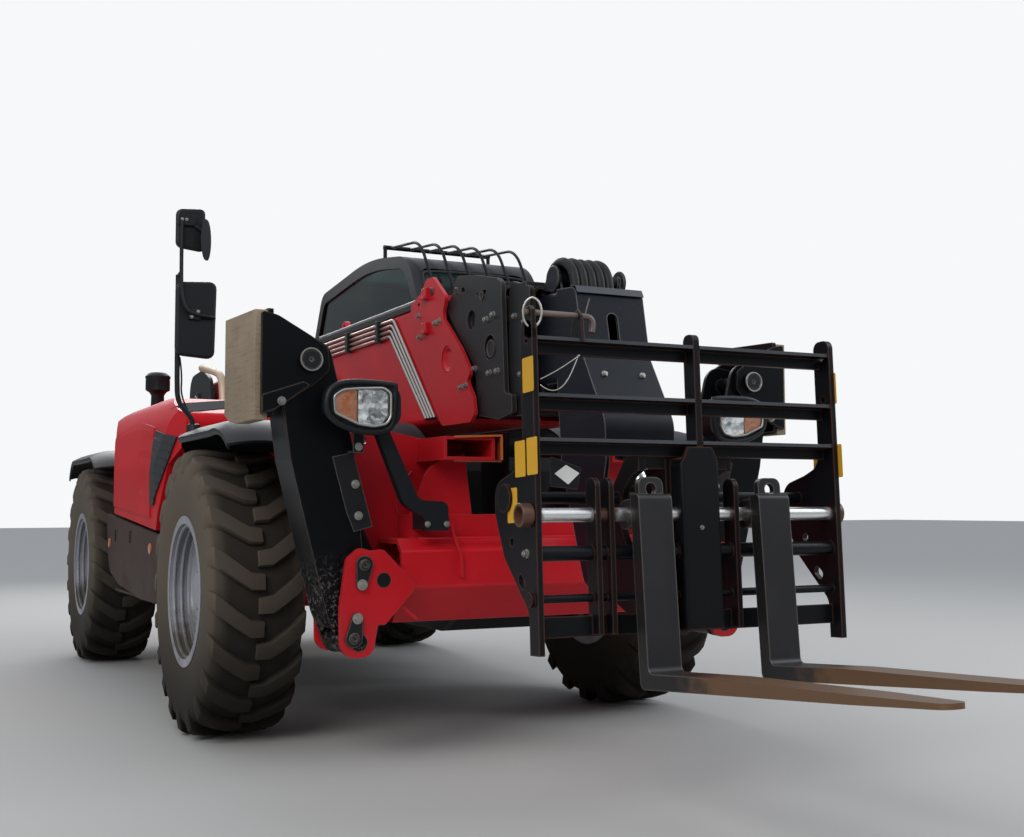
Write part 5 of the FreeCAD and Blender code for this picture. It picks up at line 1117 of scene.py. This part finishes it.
def fender_shell(side, middle, front, back, front_drop, back_drop, taper):
    """Curved fender: level over the tyre, falling at both ends and rolling down at its outer edge."""
    layers = []
    for inset in (0.0, 0.010):
        grid = []
        for i in range(37):
            u = i / 36
            s = front + (back - front) * u
            at_front = max(0.0, (s - (front - 0.30)) / 0.30)
            at_back = max(0.0, ((back + 0.22) - s) / 0.22)
            fall = front_drop * at_front ** 2.2 + back_drop * at_back ** 2.4
            narrow = taper * at_back ** 1.5
            row = []
            for x in (0.332, 0.50, 0.70, 0.86, 0.96, 1.03, 1.07, 1.10, 1.13, 1.155, 1.175, 1.189, 1.189):
                roll = 0.052 * max(0.0, (x - 1.05) / 0.139) ** 1.8 * (1 - 0.7 * min(1.0, at_front + at_back))
                x -= narrow * max(0.0, (x - 0.6) / 0.589)
                lip = 0.016 if len(row) == 12 else 0.0
                crease = 0.006 if 0.85 < x < 1.0 else 0.0
                row.append(at(side * (x - (inset if x > 1.16 else 0)), middle + s, 1.360 - fall - roll - lip - crease - inset))
            grid.append(row)
        layers.append(grid)
    return closed_sheet(*layers)


wheel_base = (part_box("tyre_rear_right")[0].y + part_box("tyre_rear_right")[1].y) / 2 - axle_y
for name, middle, front, back, front_drop, back_drop, taper in (("front", 0.0, 0.718, -0.388, 0.105, 0.098, 0.09),
                                                                ("rear", -wheel_base, 0.438, -0.698, 0.108, 0.148, 0.0)):
    shells = [fender_shell(side, middle, front, back, front_drop, back_drop, taper) for side in (-1, 1)]
    for side in (-1, 1):
        shells.append(pushed([at(side * 0.311, middle - 0.140, 0.780), at(side * 0.311, middle + 0.140, 0.780),
                              at(side * 0.311, middle + 0.140, 1.349), at(side * 0.311, middle - 0.140, 1.349)],
                             left * side * 0.022, 0.002))
    both = joined(*shells)
    fender_piece = piece(name + "_fender_shells", both, dark_plastic, "machine")
    smooth_by_angle(both, 50)
    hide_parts(name + "_fenders")
dress(dark_plastic, "fuel_tank", "headlamps", "cab_controls")
pole = [at(-1.110, -0.222, 1.345), at(-1.112, -0.222, 1.385), at(-1.140, -0.222, 1.425), at(-1.182, -0.222, 1.470),
        at(-1.190, -0.222, 1.560), at(-1.190, -0.222, 2.060)]
arm = [at(-1.188, -0.170, 2.300), at(-1.188, -0.170, 2.000), at(-1.180, -0.169, 1.935), at(-1.158, -0.168, 1.888),
       at(-1.118, -0.168, 1.872), at(-1.060, -0.169, 1.866), at(-1.030, -0.180, 1.866), at(-1.024, -0.222, 1.866)]
cross_arm = [at(-1.190, -0.222, 2.050), at(-1.189, -0.200, 2.062), at(-1.188, -0.172, 2.062)]
low_housing = [(-1.206, 1.685), (-1.026, 1.672), (-1.018, 2.036), (-1.206, 2.024)]
high_housing = [(-1.208, 2.185), (-1.076, 2.170), (-1.074, 2.374), (-1.208, 2.364)]
left_housing = [(-x, z) for x, z in low_housing]
mirror_parts = [tube(pole, 0.012), tube(arm, 0.009), tube(cross_arm, 0.009),
                turned([(0, 0), (0, 0.034), (0.030, 0.030), (0.034, 0.014), (0.034, 0)], at(-1.110, -0.222, 1.340), up, 24),
                pushed([at(x, -0.216, z) for x, z in low_housing], ahead * 0.034, 0.012, 0.035),
                pushed([at(x, -0.222, z) for x, z in high_housing], ahead * 0.034, 0.012, 0.026),
                pushed([at(x, -0.310, z) for x, z in left_housing], ahead * 0.034, 0.012, 0.035),
                pushed([at(x, -0.186, z) for x, z in ((-1.205, 2.285), (-1.125, 2.285), (-1.125, 2.335), (-1.205, 2.335))],
                       ahead * 0.014, 0.003, 0.008),
                pushed([at(x, -0.184, z) for x, z in ((-1.150, 1.850), (-1.095, 1.850), (-1.095, 1.900), (-1.150, 1.900))],
                       ahead * 0.014, 0.003, 0.008)]
convex = [at(-1.072 + 0.027 * math.cos(a), -0.168 - 0.03 * math.cos(a), 2.222 + 0.098 * math.sin(a))
          for a in [2 * math.pi * step / 24 for step in range(24)]]
mirror_parts.append(pushed(convex, (ahead * 0.8 + left * -0.6) * 0.022, 0.005))
mirror_parts.append(tube([at(-1.150, -0.182, 2.300), at(-1.100, -0.180, 2.275), at(-1.072, -0.172, 2.250)], 0.008))
left_arm = [at(1.148, -0.900, 1.840), at(1.185, -0.895, 1.840), at(1.188, -0.840, 1.840), at(1.188, -0.330, 1.840),
            at(1.176, -0.300, 1.840), at(1.150, -0.292, 1.840)]
mirror_parts.append(tube(left_arm, 0.012))
mirror_piece = piece("mirror_set", joined(*mirror_parts), dark_plastic, "machine")
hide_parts("mirrors")
bolts("mirror_bolts", [(at(-1.186, -0.172, 2.312), ahead, 0.0055), (at(-1.166, -0.172, 2.312), ahead, 0.0055),
                       (at(-1.137, -0.170, 1.862), ahead, 0.006), (at(-1.108, -0.170, 1.888), ahead, 0.006)], zinc,
      "machine")
cover_parts = []
for station in (-1.590, -2.060):
    slot_outline = [at(-1.1462, station - 0.012, 0.795), at(-1.1462, station + 0.012, 0.795),
                    at(-1.1462, station + 0.012, 0.862), at(-1.1462, station - 0.012, 0.862)]
    cover_parts.append(pushed(slot_outline, -left * 0.004, 0.001, 0.008))
piece("side_cover_latches", joined(*cover_parts), gap_black, "machine")
amber = bpy.data.materials.new("amber_lens")
amber.use_nodes = True
amber_shader = amber.node_tree.nodes["Principled BSDF"]
amber_shader.inputs["Base Color"].default_value = (0.46, 0.14, 0.045, 1)
amber_shader.inputs["Roughness"].default_value = 0.12
amber_shader.inputs["Coat Weight"].default_value = 0.5
reflectors = []
for station, side in ((-2.250, -1), (-1.000, -1), (-2.1, 1), (-1.3, 1)):
    x = -1.1462 if side < 0 else 1.1402
    z = 0.780 if side < 0 else 0.62
    reflectors.append(turned([(0, 0), (0, 0.028), (0.006, 0.028), (0.009, 0.022), (0.010, 0)], at(x, station, z),
                             left * side, 32))
piece("side_reflectors", joined(*reflectors), amber, "machine")
engine_grey = finish("engine_grey", (0.07, 0.072, 0.075), 0.6, dust=0.45)
dress(engine_grey, "engine_block")


# Headlamps sit in black housings: a clear lens over a bright faceted bowl, with an amber third outside.
# A chromed rim runs round the lens, and a strap ties the housing back to the beam's web.

glass_clear = bpy.data.materials.new("lamp_glass")
glass_clear.use_nodes = True
glass_shader = glass_clear.node_tree.nodes["Principled BSDF"]
glass_shader.inputs["Base Color"].default_value = (0.95, 0.97, 0.97, 1)
glass_shader.inputs["Roughness"].default_value = 0.03
glass_shader.inputs["Transmission Weight"].default_value = 1.0
glass_shader.inputs["IOR"].default_value = 1.35
bowl = bpy.data.materials.new("lamp_bowl")
bowl.use_nodes = True
bowl_tree = bowl.node_tree
bowl_shader = bowl_tree.nodes["Principled BSDF"]
bowl_shader.inputs["Metallic"].default_value = 1.0
bowl_shader.inputs["Roughness"].default_value = 0.14
bowl_place = add_node(bowl_tree, "ShaderNodeTexCoord").outputs["Object"]
facets = add_node(bowl_tree, "ShaderNodeTexVoronoi", Vector=bowl_place, Scale=24.0)
facet_bump = add_node(bowl_tree, "ShaderNodeBump", Strength=0.4, Distance=0.010, Height=facets.outputs["Distance"])
bowl_tree.links.new(facet_bump.outputs["Normal"], bowl_shader.inputs["Normal"])
shade = ramp(bowl_tree, noise(bowl_tree, bowl_place, 26.0, 2.0, 0.5), 0.35, 0.65)
bowl_tree.links.new(blend_colours(bowl_tree, shade, (0.30, 0.31, 0.32), (0.66, 0.67, 0.69)),
                    bowl_shader.inputs["Base Color"])


def domed(outline, push, height, rings=6):
    """Closed lens: a flat back with a front that bulges towards its middle."""
    middle = sum(outline, Vector()) / len(outline)
    shape = bmesh.new()
    face = shape.faces.new([shape.verts.new(point) for point in outline])
    bmesh.ops.bevel(shape, geom=list(shape.verts), offset=0.010, segments=3, affect="VERTICES", profile=0.5)
    edge = [v.co.copy() for v in shape.faces[:][0].verts] if len(shape.faces) else []
    shape.free()
    shape = bmesh.new()
    loops = []
    back = [shape.verts.new(point) for point in edge]
    for ring in range(rings):
        t = 1 - ring / rings
        rise = height * (0.35 + 0.65 * math.sqrt(max(0.0, 1 - t * t)))
        loops.append([shape.verts.new(middle + (point - middle) * t + push * rise) for point in edge])
    tip = shape.verts.new(middle + push * height)
    count = len(edge)
    shape.faces.new(back)
    for here, there in zip([back] + loops, loops):
        for index in range(count):
            after = (index + 1) % count
            shape.faces.new((here[index], here[after], there[after], there[index]))
    for index in range(count):
        shape.faces.new((loops[-1][index], loops[-1][(index + 1) % count], tip))
    bmesh.ops.recalc_face_normals(shape, faces=list(shape.faces))
    mesh = bpy.data.meshes.new("domed")
    shape.to_mesh(mesh)
    shape.free()
    return smooth_by_angle(mesh, 50), edge


lamp_front = 1.3005
for side, name in ((-1, "right"), (1, "left")):
    clear_outline = [(0.858, 1.414), (0.766, 1.420), (0.740, 1.403), (0.739, 1.322), (0.756, 1.296), (0.800, 1.286),
                     (0.858, 1.293)]
    amber_outline = [(0.862, 1.414), (0.862, 1.294), (0.945, 1.330), (0.949, 1.387), (0.916, 1.408)]
    whole_outline = [(0.858, 1.418), (0.764, 1.424), (0.735, 1.405), (0.735, 1.320), (0.753, 1.292), (0.800, 1.282),
                     (0.860, 1.289), (0.948, 1.327), (0.953, 1.388), (0.917, 1.412)]
    clear_spots = [at(side * x, lamp_front, z) for x, z in clear_outline]
    amber_spots = [at(side * x, lamp_front, z) for x, z in amber_outline]
    whole_spots = [at(side * x, lamp_front, z) for x, z in whole_outline]
    bowl_mesh = domed(clear_spots, ahead, 0.004)[0]
    piece("lamp_bowl_" + name, bowl_mesh, bowl, "machine")
    amber_mesh = domed(amber_spots, ahead, 0.007)[0]
    piece("lamp_indicator_" + name, amber_mesh, amber, "machine")
    lens_mesh, lens_edge = domed([spot + ahead * 0.0085 for spot in whole_spots], ahead, 0.012)
    piece("lamp_lens_" + name, lens_mesh, glass_clear, "machine")
    rim_line = [spot + ahead * 0.006 for spot in lens_edge]
    piece("lamp_rim_" + name, tube(rim_line, 0.0045, closed=True), zinc, "machine", True)
    hoop = [at(side * x, lamp_front - 0.004, z) for x, z in ((0.712, 1.436), (0.712, 1.300), (0.750, 1.262),
                                                          (0.868, 1.262), (0.972, 1.310), (0.975, 1.400),
                                                          (0.925, 1.440), (0.80, 1.444))]
    piece("lamp_bezel_" + name, tube(hoop, 0.012, closed=True), dark_plastic, "machine", True)
    strap_side = [at(side * 0.802, 1.214, 1.275), at(side * 0.802, 1.214, 1.190), at(side * 0.802, 0.937, 1.190),
                  at(side * 0.802, 0.937, 1.198), at(side * 0.802, 1.206, 1.198), at(side * 0.802, 1.206, 1.275)]
    piece("lamp_strap_" + name, pushed(strap_side, Vector((side * 0.042, 0, 0)), 0.001), keeper_paint, "machine")
    lamp_bolts = [(at(side * 0.823, 1.2145, 1.212), ahead, 0.010),
                  (at(side * 0.474, 1.2265, 0.925), ahead, 0.008), (at(side * 0.552, 1.2265, 0.925), ahead, 0.008)]
    bolts("lamp_bolts_" + name, lamp_bolts, zinc, "machine", 1.5)


# The cab is a dark painted shell with tinted panes in rubber seals, under a black bar guard.
# A wiper lies on the windscreen.  The seat's cushion and back are sewn pads over a plain base.

cab_paint = finish("cab_frame_paint", (0.009, 0.010, 0.012), 0.4, specular=0.35, dust=0.18, dust_colour=(0.08, 0.07, 0.06), coat=0.1,
                   on_top=0.3)
dress(cab_paint, "cab_frame", "cab_door")
dress(black_paint, "roof_guard")
pane = bpy.data.materials.new("tinted_glass")
pane.use_nodes = True
pane_tree = pane.node_tree
pane_shader = pane_tree.nodes["Principled BSDF"]
pane_shader.inputs["Base Color"].default_value = (0.13, 0.18, 0.18, 1)
pane_shader.inputs["Transmission Weight"].default_value = 1.0
pane_shader.inputs["IOR"].default_value = 1.25
pane_place = add_node(pane_tree, "ShaderNodeTexCoord").outputs["Object"]
smears = ramp(pane_tree, noise(pane_tree, pane_place, 2.2, 7.0, 0.7), 0.40, 0.75, 0.03, 0.30)
pane_tree.links.new(smears, pane_shader.inputs["Roughness"])
dress(pane, "cab_glass", "door_glass")

seal = finish("window_seal", (0.010, 0.010, 0.011), 0.55, dust=0.2)


def windscreen(x, z, out=0.0):
    """Point on the windscreen's sloping plane."""
    return at(x, -0.640 - 0.572 * (z - 1.506) / 0.955 + out, z)


ring = [(0.430, 1.500), (0.400, 1.560), (0.400, 2.330), (0.430, 2.375), (1.060, 2.375), (1.090, 2.330),
        (1.090, 1.560), (1.060, 1.500)]
seal_line = [windscreen(x, z, -0.004) for x, z in ring]
seals = [tube(seal_line, 0.009, closed=True)]
piece("windscreen_seal", joined(*seals), seal, "machine", True)
wiper = [tube([windscreen(0.745, 1.505, 0.020), windscreen(0.800, 1.70, 0.034), windscreen(0.905, 1.915, 0.020)], 0.006)]
wiper.append(tube([windscreen(0.800, 1.640, 0.012), windscreen(0.990, 2.190, 0.012)], 0.005, rounded=False))
wiper.append(turned([(0, 0), (0, 0.020), (0.020, 0.018), (0.030, 0.010), (0.030, 0)], windscreen(0.745, 1.505, 0.0),
                    ahead, 24))
piece("wiper", joined(*wiper), dark_plastic, "machine", True)

seat_cloth = finish("seat_cloth", (0.030, 0.031, 0.034), 0.85, dust=0.25, bump=0.5, bump_scale=700.0)


def pad(name, outline, x_low, x_high, channels):
    """Sewn pad: a profile pushed across, swollen by a short cloth run, then creased at its channels."""
    low = at(0, 0, 0)
    base = pushed([at(x_low, s, z) for s, z in outline], Vector((x_high - x_low, 0, 0)), 0.018)
    source = loose(base)
    remesh = source.modifiers.new("even", "REMESH")
    remesh.mode = "VOXEL"
    remesh.voxel_size = 0.006
    mesh = applied(source)
    source = loose(mesh)
    start = [v.co.copy() for v in mesh.vertices]
    cloth = source.modifiers.new("swell", "CLOTH")
    cloth.settings.use_pressure = True
    cloth.settings.uniform_pressure_force = 4.0
    cloth.settings.effector_weights.gravity = 0.0
    cloth.settings.tension_stiffness = 8.0
    cloth.settings.bending_stiffness = 1.5
    scene = bpy.context.scene
    for number in range(1, 16):
        scene.frame_set(number)
    mesh = applied(source)
    scene.frame_set(1)
    for vertex, before in zip(mesh.vertices, start):
        move = vertex.co - before
        if move.length > 0.014:
            vertex.co = before + move.normalized() * 0.014
    source = loose(mesh)
    for vertex in mesh.vertices:
        for a, b in channels:
            run = b - a
            along = max(0.0, min(1.0, (vertex.co - a).dot(run) / run.length_squared))
            away = vertex.co - (a + run * along)
            away.x = 0
            if away.length < 0.022:
                vertex.co -= vertex.normal * 0.007 * (1 - (away.length / 0.022) ** 2)
    rounded = source.modifiers.new("rounded", "SUBSURF")
    rounded.levels = 1
    rounded.render_levels = rounded.levels
    mesh = applied(source)
    made = piece(name, mesh, seat_cloth, "machine", True)
    return made


cushion = pad("seat_cushion", [(-1.655, 1.195), (-1.655, 1.280), (-1.70, 1.295), (-2.120, 1.285), (-2.120, 1.195)],
              0.530, 0.980, [(at(0.55, -1.78, 1.30), at(0.96, -1.78, 1.30)), (at(0.55, -1.95, 1.30), at(0.96, -1.95, 1.30))])
backrest = pad("seat_back", [(-2.145, 1.300), (-2.240, 1.960), (-2.290, 1.995), (-2.345, 1.960), (-2.250, 1.290)],
               0.555, 0.955, [(at(0.57, -2.17, 1.48), at(0.94, -2.17, 1.48)), (at(0.57, -2.20, 1.70), at(0.94, -2.20, 1.70))])
base_mesh = joined(pushed([at(0.600, -1.730, 0.830), at(0.910, -1.730, 0.830), at(0.910, -1.730, 1.195),
                           at(0.600, -1.730, 1.195)], Vector((0, 0.400, 0)), 0.010),
                   pushed([at(0.640, -2.255, 1.200), at(0.870, -2.255, 1.200), at(0.870, -2.305, 1.500),
                           at(0.640, -2.305, 1.500)], Vector((0, 0.02, 0)), 0.004))
seat_base = piece("seat_base", base_mesh, dark_plastic, "machine")
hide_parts("cab_seat")
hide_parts("cab_seat")
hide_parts("cab_seat")


# Mirrors hang on poles at the cab's and the hood's corners; their glass faces the driver.
# The exhaust is a short pipe, burnt to a dull beige, beside the boom.

mirror_glass = bpy.data.materials.new("mirror_glass")
mirror_glass.use_nodes = True
mirror_glass.node_tree.nodes["Principled BSDF"].inputs["Metallic"].default_value = 1.0
mirror_glass.node_tree.nodes["Principled BSDF"].inputs["Roughness"].default_value = 0.04
mirror_glass.node_tree.nodes["Principled BSDF"].inputs["Base Color"].default_value = (0.8, 0.82, 0.84, 1)
panes = []
for corners, station in ((((-1.190, 1.700), (-1.040, 1.690), (-1.034, 2.020), (-1.190, 2.008)), -0.2165),
                         (((-1.196, 2.198), (-1.112, 2.186), (-1.112, 2.358), (-1.196, 2.350)), -0.2225),
                         (((1.036, 1.695), (1.188, 1.695), (1.192, 2.007), (1.031, 2.020)), -0.3105)):
    panes.append(pushed([at(x, station, z) for x, z in corners], -ahead * 0.003, 0.0008, 0.025))
piece("mirror_panes", joined(*panes), mirror_glass, "machine")
cable = [at(-1.178, -0.222, 1.68), at(-1.165, -0.222, 1.60), at(-1.172, -0.222, 1.50), at(-1.140, -0.222, 1.440)]
piece("mirror_cable", tube(cable, 0.004), hose_rubber, "machine", True)

exhaust_metal = finish("burnt_exhaust", (0.62, 0.50, 0.36), 0.5, dust=0.25, dust_colour=(0.14, 0.085, 0.055),
                       dust_scale=6.0, metallic=0.35, variation=0.3)
dress(exhaust_metal, "exhaust")
tail = [at(-0.55, -1.945, 1.585), at(-0.55, -1.962, 1.690), at(-0.55, -2.010, 1.790), at(-0.55, -2.180, 1.832),
        at(-0.55, -2.520, 1.884)]
piece("exhaust_tail", tube(tail, 0.024), exhaust_metal, "hood", True)

# Rear lamps hang from the rear edges of the fenders.
rear_low, rear_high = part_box("rear_fenders")
lamp_red = bpy.data.materials.new("red_lens")
lamp_red.use_nodes = True
lamp_red.node_tree.nodes["Principled BSDF"].inputs["Base Color"].default_value = (0.45, 0.01, 0.01, 1)
lamp_red.node_tree.nodes["Principled BSDF"].inputs["Roughness"].default_value = 0.15
lamp_red.node_tree.nodes["Principled BSDF"].inputs["Coat Weight"].default_value = 0.5
back = Vector((0, 1, 0))
housings, red_lenses, amber_lenses = [], [], []
for side in (-1, 1):
    y = rear_high.y - 0.004
    z = rear_high.z - 0.262
    box_points = [Vector((side * x, y, z + h)) for x, h in ((0.900, 0.012), (1.130, 0.012), (1.130, 0.112), (0.900, 0.112))]
    housings.append(pushed(box_points, back * 0.030, 0.004, 0.012))
    red_points = [Vector((side * x, y + 0.031, z + h)) for x, h in ((0.910, 0.022), (1.020, 0.022), (1.020, 0.102),
                                                                   (0.910, 0.102))]
    amber_points = [Vector((side * x, y + 0.031, z + h)) for x, h in ((1.026, 0.022), (1.120, 0.022), (1.120, 0.102),
                                                                     (1.026, 0.102))]
    red_lenses.append(domed(red_points, back, 0.008)[0])
    amber_lenses.append(domed(amber_points, back, 0.008)[0])
piece("rear_lamp_housings", joined(*housings), dark_plastic, "machine")
piece("rear_red_lenses", joined(*red_lenses), lamp_red, "machine")
piece("rear_amber_lenses", joined(*amber_lenses), amber, "machine")
